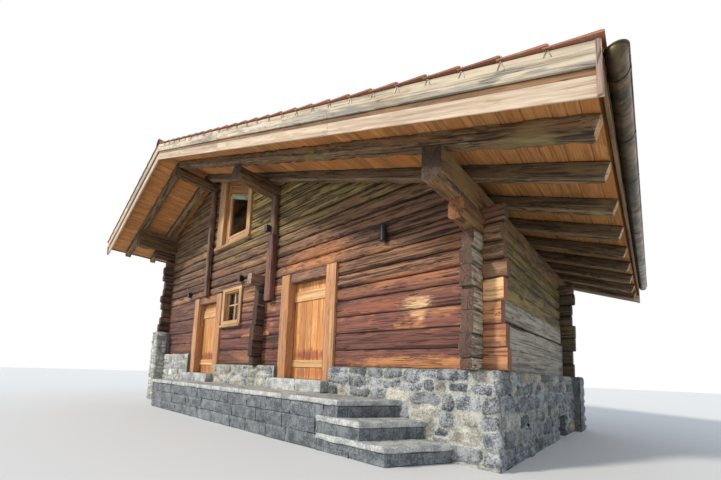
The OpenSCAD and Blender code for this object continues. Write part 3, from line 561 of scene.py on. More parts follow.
# %% [markdown]
# Clay tiles. Fired clay is close to stone in its speckle, so it uses the stone group with red
# tones. Some tiles have faded, and grey-green lichen grows in clouds over them.

# %% Tile finish
def fired_clay():
    material, n, shader = new_material("clay tiles")
    s = use_group(n, STONE, Place=n.place(), Scale=1.6)
    fleck = n.step(s["Speckle"], 0.36, 0.64)
    colour = n.mix(fleck, srgb(124, 74, 56), srgb(178, 118, 90))
    colour = n.mix(n.step(n.attribute("tone"), 0.55, 0.95), colour, srgb(146, 98, 78))
    lichen = n.times(n.step(s["Cloud"], 0.52, 0.68), 0.55)
    colour = n.mix(lichen, colour, n.mix(fleck, srgb(104, 96, 78), srgb(168, 160, 138)))
    colour = n.mix(n.times(n.attribute("end"), 0.5), colour, srgb(186, 124, 90))
    colour = n.value(colour, n.plus(0.78, n.times(n.attribute("tone"), 0.4)))
    finish(n, shader, colour, 0.82, s["Height"], 0.25, 0.006)
    return material


CLAY = fired_clay()
print("tile finish ready")

# %% [markdown]
# Metal and glass. The gutter is old copper: brown with olive films, and still a little shiny
# where it bends, so the same clouds that carry the film also make it rough. The panes are thin
# clear glass in front of a dark room, with a little dust.

# %% Metal and glass finishes
def metal(name, dark, light, film, metallic, smooth, rough):
    material, n, shader = new_material(name)
    s = use_group(n, STONE, Place=n.place(), Scale=1.1)
    run = n.noise(n.scaled(n.place(), (9.0, 9.0, 1.2)), 1.0, 4.0, 0.6)
    colour = n.mix(n.step(run, 0.38, 0.62), srgb(*dark), srgb(*light))
    colour = n.mix(n.times(n.step(s["Cloud"], 0.45, 0.62), 0.6), colour, srgb(*film))
    shader.inputs["Metallic"].default_value = metallic
    rough = n.step(s["Cloud"], 0.35, 0.65, smooth, rough)
    finish(n, shader, colour, rough, s["Speckle"], 0.08, 0.002)
    return material


COPPER = metal("old copper", (70, 60, 48), (120, 98, 76), (84, 84, 62), 0.85, 0.28, 0.5)
IRON = metal("forged iron", (34, 32, 31), (62, 58, 54), (74, 56, 44), 0.7, 0.42, 0.65)
LAMP_METAL = metal("lamp metal", (40, 42, 44), (72, 74, 76), (58, 60, 62), 0.5, 0.35, 0.5)
WIRE = metal("clip wire", (96, 92, 88), (150, 146, 140), (120, 104, 90), 0.8, 0.35, 0.6)

GLASS, n, shader = new_material("window glass")
shader.inputs["Transmission Weight"].default_value = 1.0
shader.inputs["IOR"].default_value = 1.45
n.put(shader.inputs["Roughness"], n.step(n.noise(n.place(), 9.0, 3.0), 0.45, 0.7, 0.02, 0.14))
film = n.step(n.noise(n.place(), 5.0, 2.0), 0.4, 0.7)
n.put(shader.inputs["Base Color"], n.mix(film, srgb(222, 228, 226), srgb(198, 206, 204)))
print("metal and glass ready")

# %% [markdown]
# Timber is built from outlines swept along a straight line. Cubes and cylinders would be
# quicker, but hewn wood has no straight edge: each ring of points wanders a little. First come
# the outlines, as points that run anticlockwise, and the faces between rows of points.

# %% Outlines and faces
WAVE_LENGTHS = np.linspace(0.35, 1.8, 4)
ROUND_SIDES = 14


def waves(t, rng):
    """A soft random curve along a timber, about -1 to 1."""
    out = np.zeros_like(t)
    for length in WAVE_LENGTHS:
        out += np.sin(t * 2 * math.pi / length + rng.uniform(0, 2 * math.pi)) * rng.uniform(0.4, 1.0)
    return out / len(WAVE_LENGTHS)


def rounded(width, height, radius, across=1, upward=1, corner=1):
    """A rectangle with round corners; the counts say how many points its sides and corners get."""
    w, h, r = width / 2, height / 2, radius
    middles = [(w - r, -(h - r), -90), (w - r, h - r, 0), (-(w - r), h - r, 90), (-(w - r), -(h - r), 180)]
    points = []
    for k, (cx, cy, start) in enumerate(middles):
        for part in range(corner + 1):
            a = math.radians(start + 90 * part / corner)
            points.append((cx + r * math.cos(a), cy + r * math.sin(a)))
        nx, ny, following = middles[(k + 1) % 4]
        a = math.radians(following)
        goal = (nx + r * math.cos(a), ny + r * math.sin(a))
        last, parts = points[-1], upward if k % 2 == 0 else across
        for part in range(1, parts + 1):
            f = part / (parts + 1)
            points.append((last[0] + (goal[0] - last[0]) * f, last[1] + (goal[1] - last[1]) * f))
    return np.array(points)


def hewn_round(d):
    a = np.arange(ROUND_SIDES) / ROUND_SIDES * 2 * math.pi
    return np.stack([np.cos(a), np.sin(a)], 1) * d / 2


def board(width, thickness):
    return rounded(width, thickness, min(0.004, thickness * 0.3))


def grid(rows, columns, closed=False, inward=False):
    """Faces between rows of points; closed joins each row's last point to its first."""
    faces = []
    for r in range(rows - 1):
        for c in range(columns if closed else columns - 1):
            a, b = r * columns + c, r * columns + (c + 1) % columns
            faces.append((a, a + columns, b + columns, b) if inward else (a, b, b + columns, a + columns))
    return faces


print("outline of a beam", len(rounded(0.2, 0.2, 0.02, 2, 2, 2)), "points, of a board", len(board(0.1, 0.02)))

# %% [markdown]
# A wall could be one object per log, but hundreds of objects make a scene heavy. The builder
# gathers many bodies into one mesh, and keeps for every point what the finishes ask for: grain
# coordinates, a tone for each timber or stone, cut ends, seams, and stone's kind and mortar.

# %% The builder
class Build:
    """Collects many bodies into one mesh."""

    def __init__(self, seed):
        self.rng = np.random.default_rng(seed)
        self.verts, self.faces, self.values = [], [], {}
        self.count = 0

    def add(self, verts, faces, **values):
        self.faces += [tuple(v + self.count for v in face) for face in faces]
        self.verts.append(verts)
        for name, value in values.items():
            shape = (len(verts), 3) if name == "grain" else (len(verts),)
            self.values.setdefault(name, []).append(np.broadcast_to(value, shape))
        self.count += len(verts)

    def make(self, name, material, slot, replaces=None, body="house", sharp=38):
        """Makes the piece: it rides on a body, takes the given finish and may replace a node. The slot is not
        used.
        """
        mesh = bpy.data.meshes.new(name)
        points = np.clip(np.concatenate(self.verts), *CAD_BOX)
        mesh.from_pydata(points.tolist(), [], self.faces)
        for label, data in self.values.items():
            kind, field = ("FLOAT_VECTOR", "vector") if label == "grain" else ("FLOAT", "value")
            layer = mesh.attributes.new(label, kind, "POINT")
            layer.data.foreach_set(field, np.concatenate(data).astype(np.float32).ravel())
        mesh.shade_smooth()
        mesh.set_sharp_from_angle(angle=math.radians(sharp))
        mesh.materials.append(material)
        piece = bpy.data.objects.new(name, mesh)
        bpy.context.scene.collection.objects.link(piece)
        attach(piece, body)
        if replaces:
            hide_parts(replaces)
        print(name, sum(len(f) - 2 for f in self.faces), "triangles")


# %% [markdown]
# A timber: rings of points from end to end. Each ring wanders with slow waves, and fine bumps
# push its points in and out. The first and last ring are drawn in a little as a chamfer. The
# seam value is 0 at half height and 1 at the upper and lower edge.

# %% Sweeping a timber
BUMP_SPREAD, RIPPLES, RIPPLE_LENGTH = 0.35, 3, (0.18, 0.7)
CAP_SHRINK = 0.45


def directions(start, end, side, over):
    """Length and the three directions of a timber; over points up where it isn't given."""
    length = np.linalg.norm(end - start)
    along = (end - start) / length
    side = np.array(side if side is not None else np.cross(along, (0, 0, 1)), float)
    side /= np.linalg.norm(side)
    if over is None:
        over = np.cross(side, along)
        over = over if over[2] >= -1e-6 else -over
    return length, along, side, np.array(over, float)


def cap(build, rim, grain, bulge, outward, tone, end):
    """Closes a timber's end with two rings and a middle."""
    m = len(rim)
    middle = rim.mean(axis=0) + bulge
    verts = np.concatenate([rim, rim * CAP_SHRINK + middle * (1 - CAP_SHRINK), middle[None]])
    grain = np.concatenate([grain, grain * (1, CAP_SHRINK, CAP_SHRINK), [[grain[0][0], 0, 0]]])
    faces = []
    for k in range(m):
        ring = (k, (k + 1) % m, m + (k + 1) % m, m + k)
        fan = (m + k, m + (k + 1) % m, 2 * m)
        faces += [ring, fan] if outward else [ring[::-1], fan[::-1]]
    build.add(verts, faces, grain=grain, tone=tone, end=float(end), seam=0.0)


def timber(build, start, end, outline, side=None, over=None, rough=0.004, step=0.15, bend=0.0, shape=None,
           tone=None, ends=(1, 1), chamfer=0.012):
    """Sweeps an outline from start to end; side and over are the directions of its two axes."""
    rng = build.rng
    start, end = np.array(start, float), np.array(end, float)
    length, along, side, over = directions(start, end, side, over)
    flip = np.dot(np.cross(side, over), along) < 0
    t = np.linspace(0, length, max(2, int(round(length / step)) + 1))
    if chamfer:
        t = np.insert(t, [1, len(t) - 1], [chamfer, length - chamfer])
    rings, m = len(t), len(outline)
    normal = outline / (np.linalg.norm(outline, axis=1)[:, None] + 1e-9)
    wander = np.stack([waves(t, rng), waves(t, rng)], 1) * bend
    bump = rng.normal(0, BUMP_SPREAD, (rings, m))
    for _ in range(RIPPLES):
        a = np.arange(m) / m * 2 * math.pi * rng.integers(2, 7) + rng.uniform(0, 6.28)
        ripple = np.sin(t[:, None] * 2 * math.pi / rng.uniform(*RIPPLE_LENGTH) + a[None, :])
        bump += ripple * rng.uniform(0.3, 0.8)
    local = outline[None] + wander[:, None, :] + normal[None] * (bump * rough / 2)[:, :, None]
    if chamfer:
        inset = 1 - chamfer * 0.5 / np.abs(outline).max()
        local[0] = outline * inset + wander[0]
        local[-1] = outline * inset + wander[-1]
    points = start + along * t[:, None, None] + side * local[:, :, :1] + over * local[:, :, 1:]
    if shape is not None:
        points = shape(points)
    tone = rng.uniform(0.15, 0.85) if tone is None else tone
    place = np.broadcast_to((t + rng.uniform(-50, 50))[:, None, None], (rings, m, 1))
    grain = np.concatenate([place, local], 2)
    faces = [face[::-1] if flip else face for face in grid(rings, m, closed=True)]
    seam = np.abs(local[..., 1]).ravel() / np.abs(outline[:, 1]).max()
    build.add(points.reshape(-1, 3), faces, grain=grain.reshape(-1, 3), tone=tone, end=0.0, seam=seam)
    for kind, ring, way in ((ends[0], 0, -1), (ends[1], rings - 1, 1)):
        if kind is not None:
            cap(build, points[ring], grain[ring], along * way * rough * 0.6, (way > 0) != flip, tone, kind)


# %% [markdown]
# Most timbers run along one of the house's lines, so three short helpers lay them: along the
# front, into the depth, and upright.

# %% Timbers along the house's lines
def along_x(build, x0, x1, y, z, outline, **kind):
    timber(build, at(x0, y, z), at(x1, y, z), outline, side=(0, 1, 0), **kind)


def along_y(build, x, y0, y1, z, outline, **kind):
    timber(build, at(x, y0, z), at(x, y1, z), outline, side=(1, 0, 0), **kind)


def upright(build, x, y, z0, z1, outline, **kind):
    timber(build, at(x, y, z0), at(x, y, z1), outline, side=(1, 0, 0), over=(0, 1, 0), **kind)


# %% [markdown]
# At the top the skin bends inward over a small radius. Its border rows and columns repeat the
# outermost ones, but lie on the wall itself, which closes the skin. A hole leaves out the faces
# over the cellar opening. A stretch may ask for painted shade on its side that faces right, and
# that side also gets deeper joints. A bevelled cube would look sawn, so the block is stacked from rings of
# points, each chipped by its own random amounts, with a worn top that is slightly uneven.

# %% Splitting a stone block
EDGE, EDGE_PALE, FACE_PALE = 0.012, 1.0, 0.15


def slab(build, corners, z0, z1, kind, rough=0.006, cell=0.06):
    """A block over a flat outline, given by its corners anticlockwise from above."""
    rng = build.rng
    corners = np.array(corners, float)
    rim = []
    for a, b in zip(corners, np.roll(corners, -1, axis=0)):
        parts = max(1, int(round(np.linalg.norm(b - a) / cell)))
        rim += [a + (b - a) * k / parts for k in range(parts)]
    rim = np.array(rim)
    m = len(rim)
    middle = rim.mean(axis=0)
    tangent = np.roll(rim, -1, axis=0) - np.roll(rim, 1, axis=0)
    normal = np.stack([tangent[:, 1], -tangent[:, 0]], 1)
    normal /= np.linalg.norm(normal, axis=1)[:, None]
    upward = max(1, int(round((z1 - z0) / cell)))
    heights = [z0, *np.linspace(z0 + EDGE, z1 - EDGE, upward + 1), z1]
    chip = rng.normal(0, 1, (len(heights), m))
    chip = (chip + np.roll(chip, 1, axis=1) + np.roll(chip, -1, axis=1)) / 2
    rows = []
    for k, z in enumerate(heights):
        inset = EDGE * 0.7 if k in (0, len(heights) - 1) else 0.0
        flat = rim + normal * (chip[k] * rough * 0.6 - inset - rough * 0.4)[:, None]
        rows.append(np.column_stack([flat, np.full(m, z)]))
    pale = [0.5] * (len(heights) - 2) + [EDGE_PALE, EDGE_PALE]
    for f in (0.86, 0.5):
        flat = middle + (rows[len(heights) - 1][:, :2] - middle) * f
        rows.append(np.column_stack([flat, z1 + rng.normal(0, rough * 0.25, m)]))
        pale.append(FACE_PALE)
    count = len(rows)
    verts = np.concatenate([*rows, [[*middle, z1]], [[*middle, z0]]])
    faces = grid(count, m, closed=True)
    for k in range(m):
        faces.append(((count - 1) * m + k, (count - 1) * m + (k + 1) % m, count * m))
        faces.append(((k + 1) % m, k, count * m + 1))
    pale = np.array(np.repeat(pale, m).tolist() + [0.1, 0.1])
    build.add(verts + np.array(at(0, 0, 0)), faces, tone=rng.uniform(0.2, 0.8), kind=kind, end=pale,
              mortar=0.0)


# %% [markdown]
# The house's measures, in metres from its own lines. They repeat what the CAD solids say: the
# rows of squared beams and round logs, the roof's slope, and the places of doors and windows.
# The seams of the side walls lie half a row higher than those of the gable walls, as on every
# house of crossed logs.

# %% Measures
HOUSE_LEN, HOUSE_DEP, LOG_T = 9.8, 4.46, 0.15
BEAM_H, BEAMS, LOG_H = 0.265, 4, 0.222
END_OUT, END_VARY = 0.235, 0.035
RIDGE_X, RIDGE_Z, PITCH_ANGLE = 7.1, 5.14, math.radians(20.4)
SLOPE, SLOPE_COS, SLOPE_SIN = math.tan(PITCH_ANGLE), math.cos(PITCH_ANGLE), math.sin(PITCH_ANGLE)
BOARD_T, RAFTER_H, RAFTER_W = 0.168, 0.157, 0.14
RAFTER_LOW = BOARD_T + RAFTER_H
UNDER_BOARDS = BOARD_T + 0.004
VERGE_FRONT, VERGE_REAR, VERGE_T, VERGE_UP_T = 1.45, 1.11, 0.035, 0.024
EAVE_BOARD_T = 0.025
RIGHT_REACH = RIDGE_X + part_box("eave_boards")[1][0] - X0
LEFT_REACH = -RIDGE_X - (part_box("eave_boards")[0][0] - X0)
DOORS = {"door_1": -7.03, "door_2": -3.13}
DOOR_W, JAMB_W, SILL, HEAD_H, JAMB_IN = 1.0, 0.24, -0.22, 0.165, 0.02
POST_EDGE = DOOR_W / 2 + JAMB_W
DOOR_EDGES = {name: (x - POST_EDGE, x + POST_EDGE) for name, x in DOORS.items()}
CROSS_X = -4.54
PURLIN_X, PLATE_W = -4.3, 0.23


def row_z(k):
    return k * BEAM_H if k < BEAMS else BEAMS * BEAM_H + (k - BEAMS) * LOG_H


def row_h(k):
    return BEAM_H if k < BEAMS else LOG_H


def row_span(k):
    return row_z(k), row_z(k) + row_h(k)


def side_z(k):
    return 0.0 if k == 0 else row_z(k - 1) + row_h(k - 1) / 2


def roof_z(x, depth=0.0):
    """Height of the roof over a place x, at a depth below the boards' top."""
    return RIDGE_Z - SLOPE * abs(x + RIDGE_X) - depth / SLOPE_COS


def on_roof(way, h, y, depth):
    """A place on the right (1) or left (-1) slope, at a distance from the ridge."""
    return at(-RIDGE_X + way * h, y, RIDGE_Z - SLOPE * h - depth / SLOPE_COS)


def under(depth):
    """Keeps a piece's points below the roof, at a depth under the boards' top."""
    def shape(points):
        limit = Z0 + RIDGE_Z - SLOPE * np.abs(points[..., 0] - X0 + RIDGE_X) - depth / SLOPE_COS
        points[..., 2] = np.minimum(points[..., 2], limit)
        return points
    return shape


RIGHT_ROWS = max(k for k in range(1, 30) if side_z(k) <= roof_z(0, RAFTER_LOW) - 0.2)
LEFT_ROWS = max(k for k in range(1, 30) if side_z(k) <= roof_z(-HOUSE_LEN, RAFTER_LOW) - 0.2)
OVER_ROW = BEAMS + 3
DOOR_TOP = row_z(OVER_ROW)
DOOR_HEAD = DOOR_TOP - HEAD_H
GABLE_ROWS = math.ceil((RIDGE_Z - DOOR_TOP) / LOG_H) + OVER_ROW
FRONT_Y, REAR_Y = LOG_T / 2, HOUSE_DEP - LOG_T / 2
print("rows", RIGHT_ROWS, LEFT_ROWS, "door head", round(DOOR_HEAD, 3))
print("reach", round(RIGHT_REACH, 3), round(LEFT_REACH, 3))

# %% [markdown]
# The logs. Below lie squared beams with sharp seams, above come rounder logs. A boolean cut could
# take doors and windows out of whole logs, but it leaves ragged faces. So one function lays a
# row in shorter logs, round the holes that reach into it.

# %% Laying rows of logs
END_IN = 0.004


def end_len(k, turn):
    """How far a row's end stands out past the corner, a little different for each row."""
    return END_OUT + round(END_VARY * math.sin(math.radians(97 * k + turn)), 3)


def log_outline(squared, height):
    h = height + 0.004
    if squared:
        return rounded(LOG_T, h, min(0.026, h * 0.3), 2, 4, 2)
    return rounded(LOG_T + 0.006, h, min(0.068, h * 0.42), 1, 2, 4)


def hewn(squared):
    return {"rough": 0.006 if squared else 0.01, "bend": 0.003 if squared else 0.006, "step": 0.14}


def front_log(build, span, x0, x1, y, squared, shape=None):
    """A log along the front or rear wall, between two heights, at the wall's middle line y."""
    z0, z1 = span
    if x1 - x0 > 0.04 and z1 - z0 > 0.02:
        along_x(build, x0, x1, y, (z0 + z1) / 2, log_outline(squared, z1 - z0), shape=shape, **hewn(squared))


def log_row(build, span, x0, x1, y, squared, holes=(), shape=None):
    """One row between x0 and x1, cut round the holes (x0, x1, z0, z1) that reach into it."""
    low, high = span
    cuts = sorted(h for h in holes if h[2] < high - 0.005 and h[3] > low + 0.005 and h[0] < x1 and h[1] > x0)
    place = x0
    for hx0, hx1, hz0, hz1 in cuts:
        front_log(build, span, place, hx0, y, squared, shape)
        if hz0 > low + 0.02:
            front_log(build, (low, hz0), hx0, hx1, y, squared, shape)
        if hz1 < high - 0.02:
            front_log(build, (hz1, high), hx0, hx1, y, squared, shape)
        place = hx1
    front_log(build, span, place, x1, y, squared, shape)


def side_log(build, k, x, y0, y1, **kind):
    """A row of a side wall, at the wall's middle line x."""
    z0, z1 = side_z(k), side_z(k + 1)
    outline = log_outline(k <= BEAMS, z1 - z0)
    along_y(build, x, y0, y1, (z0 + z1) / 2, outline, **{**hewn(k < BEAMS), **kind})


print("a row's end stands out", [end_len(k, 0) for k in range(3)], "m")

# %% [markdown]
# The front wall stands in three parts beside the doors, each with seams of its own. On the
# right squared beams lie below rounder logs, in the same rows as the rest of the house. The
# other two have taller beams of uneven height, and the last one starts on the raised stone.

# %% Front wall
SMALL_HOLE = (-6.15, -5.45, 0.985, 1.705)
RIGHT_SEAMS = [row_z(k) for k in range(OVER_ROW + 1)]
MIDDLE_SEAMS = [0.0, 0.335, 0.6, 0.97, 1.38, DOOR_TOP]
LEFT_SEAMS = [BEAM_H, 0.56, 0.85, 1.22, DOOR_TOP]


def front_part(name, seed, x0, x1, seams, squared, node, holes=()):
    """Logs between two seams each; x0 gives the left end of each row."""
    build = Build(seed)
    for k, span in enumerate(zip(seams, seams[1:])):
        log_row(build, span, x0(k), x1, FRONT_Y, k < squared, holes)
    build.make(name, RED_LOGS, "red_logs", node)


front_part("front_logs_right", 11, lambda k: DOOR_EDGES["door_2"][1], 0.0, RIGHT_SEAMS, BEAMS,
           "front_wall_right")
front_part("front_logs_middle", 12, lambda k: DOOR_EDGES["door_1"][1], DOOR_EDGES["door_2"][0], MIDDLE_SEAMS,
           len(MIDDLE_SEAMS), "front_wall_middle", [SMALL_HOLE])
front_part("front_logs_left", 13, lambda k: -HOUSE_LEN - end_len(k, 0), DOOR_EDGES["door_1"][0], LEFT_SEAMS,
           len(LEFT_SEAMS), "front_wall_left")

# %% [markdown]
# The ends that stand past the front right corner are pieces of their own, because sun and rain
# have bleached them while the wall kept its colour; the squared ones also carry painted sunlight.
# Each squared one has a tone of its own.

# %% Front corner ends
CORNER_TONES = [0.35, 0.3, 0.6, 1.1]
corner, corner_high = Build(14), Build(15)
for k in range(OVER_ROW):
    squared = k < BEAMS
    along_x(corner if squared else corner_high, -END_IN, end_len(k, 60), FRONT_Y, row_z(k) + row_h(k) / 2,
            log_outline(squared, row_h(k)), tone=CORNER_TONES[k] if squared else None,
            rough=0.008 if squared else 0.016, bend=0.004, step=0.08)
corner.make("front_corner_ends", BLEACHED_SUNLIT_ENDS, "red_logs")
corner_high.make("front_upper_ends", BROWN_ENDS, "red_logs")

# %% [markdown]
# Gable rows end under the roof boards. A row is first laid as long as its lower seam allows, and
# then its points are pressed below the boards, so the top of each log takes the roof's slope.
# Where the side walls still reach up, a row runs on past the corner instead.

# %% Gables and rear wall
UPPER_HOLE = (-6.78, -5.24, 2.93, RIDGE_Z + 1)


def gable_span(k):
    """Where a row of a gable ends under the roof, at the height of its lower seam."""
    reach = (RIDGE_Z - (BOARD_T + 0.01) / SLOPE_COS - row_z(k)) / SLOPE
    return max(-HOUSE_LEN + 0.2, -RIDGE_X - reach), min(-0.2, -RIDGE_X + reach)


def gable_rows(build, y, first, holes, turn, ends=None):
    """Rows up to the ridge; ends, where it is given, takes what stands out on the right."""
    shape = under(UNDER_BOARDS)
    for k in range(first, GABLE_ROWS + 1):
        left, right_end = gable_span(k)
        if row_z(k) < side_z(RIGHT_ROWS):
            right_end = end_len(k, turn + 60)
            if ends:
                front_log(ends, row_span(k), -END_IN, right_end, y, k < BEAMS, shape)
                right_end = 0.0
        if row_z(k) < side_z(LEFT_ROWS):
            left = -HOUSE_LEN - end_len(k, turn)
        if right_end - left > 0.15:
            log_row(build, row_span(k), left, right_end, y, k < BEAMS, holes, shape)


gable, rear, rear_ends = Build(21), Build(22), Build(23)
gable_rows(gable, FRONT_Y, OVER_ROW, [UPPER_HOLE], 0)
gable_rows(rear, REAR_Y, 1, [], 140, rear_ends)
front_log(rear, row_span(0), -HOUSE_LEN + 0.35, 0.0, REAR_Y, True)
front_log(rear_ends, row_span(0), -END_IN, end_len(0, 200), REAR_Y, True)
gable.make("front_gable_logs", GABLE_LOGS, "brown_logs", "front_gable")
rear.make("rear_logs", GABLE_LOGS, "brown_logs", "rear_wall")
rear_ends.make("rear_corner_ends", REAR_ENDS, "brown_logs")

# %% [markdown]
# The side walls. The uppermost log of each reaches further out as a corbel under the plate. In
# front of the house the right wall's ends are a piece of their own again, grey at their sides
# and dark red on their cut faces. The round corbel is another piece, still brown.

# %% Side walls
CORBEL_OUT, CORNER_MORE, INSIDE = 0.56, 0.05, 0.006
PIER_TOP = side_z(4)
RIGHT_X, LEFT_X = -LOG_T / 2, -HOUSE_LEN + LOG_T / 2

side, side_ends, corbel = Build(31), Build(34), Build(35)
for k in range(RIGHT_ROWS):
    last = k == RIGHT_ROWS - 1
    side_log(side, k, RIGHT_X, 0.0, HOUSE_DEP + (CORBEL_OUT if last else end_len(k, 100)))
    if not last:
        side_log(side_ends, k, RIGHT_X, -end_len(k, 20) - CORNER_MORE, INSIDE, rough=0.016, bend=0.004,
                 step=0.08)
corbel_z = (side_z(RIGHT_ROWS - 1) + side_z(RIGHT_ROWS)) / 2
along_y(corbel, RIGHT_X, -CORBEL_OUT, 0.03, corbel_z, rounded(0.19, 0.25, 0.07, 1, 2, 3), rough=0.02,
        bend=0.008, step=0.14)
side.make("right_logs", OLIVE_LOGS, "olive_logs", "right_wall")
side_ends.make("right_corner_ends", GREY_ENDS, "brown_logs")
corbel.make("right_corbel", CORBEL_LOG, "olive_logs")

far_side, far_ends = Build(32), Build(36)
for k in range(1, LEFT_ROWS):
    last = k == LEFT_ROWS - 1
    side_log(far_side, k, LEFT_X, 0.0, HOUSE_DEP + (CORBEL_OUT if last else end_len(k, 130)))
    if side_z(k) >= PIER_TOP:
        side_log(far_ends, k, LEFT_X, -(CORBEL_OUT if last else end_len(k, 50)), INSIDE)
far_side.make("left_logs", GABLE_LOGS, "brown_logs", "left_wall")
far_ends.make("left_corner_ends", CROSS_ENDS, "brown_logs")

# %% [markdown]
# The cross wall divides the house between the doors. Its logs' squared ends show in front of
# the wall, with seams of their own height. The uppermost one reaches further out and is pale.

# %% Cross wall
CROSS_OUT, CROSS_TOP, CROSS_ROWS = 0.2, 0.35, 8
CROSS_SEAMS = [0.0, 0.17, 0.48, 0.8, 1.18, side_z(CROSS_ROWS - 1), side_z(CROSS_ROWS)]


def cross_end(build, span, out):
    z0, z1 = span
    along_y(build, CROSS_X, -out, INSIDE, (z0 + z1) / 2, log_outline(True, z1 - z0),
            **{**hewn(True), "rough": 0.012})


cross, cross_ends, cross_top = Build(33), Build(37), Build(38)
for k in range(CROSS_ROWS):
    side_log(cross, k, CROSS_X, 0.0, HOUSE_DEP + end_len(k, 10))
*lower, uppermost = zip(CROSS_SEAMS, CROSS_SEAMS[1:])
for k, span in enumerate(lower):
    cross_end(cross_ends, span, CROSS_OUT + round(END_VARY * math.sin(math.radians(70 * k)), 3))
cross_end(cross_top, uppermost, CROSS_TOP)
cross.make("cross_logs", RED_LOGS, "brown_logs", "cross_wall")
cross_ends.make("cross_wall_ends", CROSS_ENDS, "brown_logs")
cross_top.make("cross_wall_top_end", CROSS_TOP_END, "brown_logs")

# %% [markdown]
# The roof's frame: a ridge purlin, a middle purlin and two plates run from gable to gable, and
# the rafters lie on them. They were hewn with an axe, so their edges wave and their top is flat
# only where the rafters rest. The overhanging ends show best from the path.

# %% Purlins and plates
PURLIN_OUT, MIDDLE_OUT, PURLIN_REAR, PURLIN_FLAT = 1.03, 0.93, 1.04, 0.014
RIDGE_D, MIDDLE_D = 0.26, 0.32


def roof_log(name, seed, x, z, out, outline, bend, node):
    build = Build(seed)
    along_y(build, x, -out, HOUSE_DEP + PURLIN_REAR, z, outline, rough=0.02, bend=bend, step=0.12,
            shape=under(RAFTER_LOW + 0.002), chamfer=0.02)
    build.make(name, PURLINS, "purlins", node)


def purlin(name, seed, x, d, out, node):
    z = roof_z(x, RAFTER_LOW) - d / 2 + PURLIN_FLAT
    roof_log(name, seed, x, z, out, hewn_round(d), 0.008, node)


def plate(name, seed, x, inner_x, z0, node):
    height = roof_z(inner_x, RAFTER_LOW) - z0 + 0.06
    outline = rounded(PLATE_W, height, 0.055, 1, 3)
    roof_log(name, seed, x, z0 + height / 2, PURLIN_OUT, outline, 0.004, node)


purlin("ridge_purlin_log", 41, -RIDGE_X, RIDGE_D, PURLIN_OUT, "ridge_purlin")
purlin("middle_purlin_log", 42, PURLIN_X, MIDDLE_D, MIDDLE_OUT, "middle_purlin")
plate("right_plate_log", 43, -PLATE_W / 2, -PLATE_W, side_z(RIGHT_ROWS), "right_plate")
plate("left_plate_log", 44, -HOUSE_LEN + PLATE_W / 2, -HOUSE_LEN + PLATE_W, side_z(LEFT_ROWS), "left_plate")

# %% [markdown]
# Rafters: one in front of each gable, one beside each wall and the rest at even bays. The
# outermost ones hang in the light, so they are a piece of their own with a paler finish.

# %% Rafters
RAFTER_OVER, RAFTER_FRONT, RAFTER_BAYS, RAFTER_BACK = 0.24, 0.7, 6, 0.075
RAFTER_START, RAFTER_DEPTH = 0.03, BOARD_T + RAFTER_H / 2
bay = (HOUSE_DEP + 2 * RAFTER_OVER) / RAFTER_BAYS
RAFTER_YS = [-RAFTER_OVER - RAFTER_FRONT, *[i * bay - RAFTER_OVER for i in range(RAFTER_BAYS + 1)],
             HOUSE_DEP + RAFTER_OVER + RAFTER_FRONT]
SLOPES = {"right": (1, RIGHT_REACH), "left": (-1, LEFT_REACH)}

for index, (name, (way, reach)) in enumerate(SLOPES.items()):
    shaded, verge = Build(45 + index), Build(47 + index)
    for y in RAFTER_YS:
        build = verge if y in (RAFTER_YS[0], RAFTER_YS[-1]) else shaded
        timber(build, on_roof(way, RAFTER_START, y, RAFTER_DEPTH),
               on_roof(way, reach - RAFTER_BACK, y, RAFTER_DEPTH),
               rounded(RAFTER_W, RAFTER_H, 0.022, 1, 2, 2), side=(0, 1, 0), rough=0.018, bend=0.007,
               step=0.13, ends=(0, 1))
    shaded.make(name + "_rafter_beams", SHADED_RAFTERS, "rafters", name + "_rafters")
    verge.make(name + "_verge_rafters", RAFTERS, "rafters")

# %% [markdown]
# Boarding: wide boards lie across the rafters, from verge to verge, in two lengths that meet over
# a rafter. Their seams are the fine dark lines seen from below. The insulation and battens over
# them never show, so each board simply takes the whole depth of the roof's pack.

# %% Boarding
BOARD_Y0, BOARD_Y1 = -VERGE_FRONT + VERGE_T, HOUSE_DEP + VERGE_REAR - VERGE_T
SEAM, BOARD_WIDTHS = 0.004, (0.15, 0.21)


def boarding(name, seed, way, reach, node):
    build = Build(seed)
    slope_way = (way * SLOPE_COS, 0, -SLOPE_SIN)
    h = 0.0
    while h < reach - EAVE_BOARD_T - 0.01:
        width = min(build.rng.uniform(*BOARD_WIDTHS), reach - EAVE_BOARD_T - h)
        joint = RAFTER_YS[build.rng.integers(2, 7)]
        outline = rounded(width / SLOPE_COS - SEAM, BOARD_T, 0.006)
        for y0, y1 in ((BOARD_Y0, joint), (joint, BOARD_Y1)):
            start, end = (on_roof(way, h + width / 2, y, BOARD_T / 2) for y in (y0, y1))
            timber(build, start, end, outline, side=slope_way, rough=0.001, step=0.9, chamfer=0.003)
        h += width
    build.make(name, SOFFIT, "soffit", node)


for index, (name, (way, reach)) in enumerate(SLOPES.items()):
    boarding(name + "_roof_boards", 51 + index, way, reach, name + "_boarding")

# %% [markdown]
# Tiles: flat clay tiles with a rib at the side and one in the middle. A bump map would do for
# the face, but the stepped edge of every course shows against the sky, so each tile is a real
# body: one template grid, laid out course by course with a little unevenness.

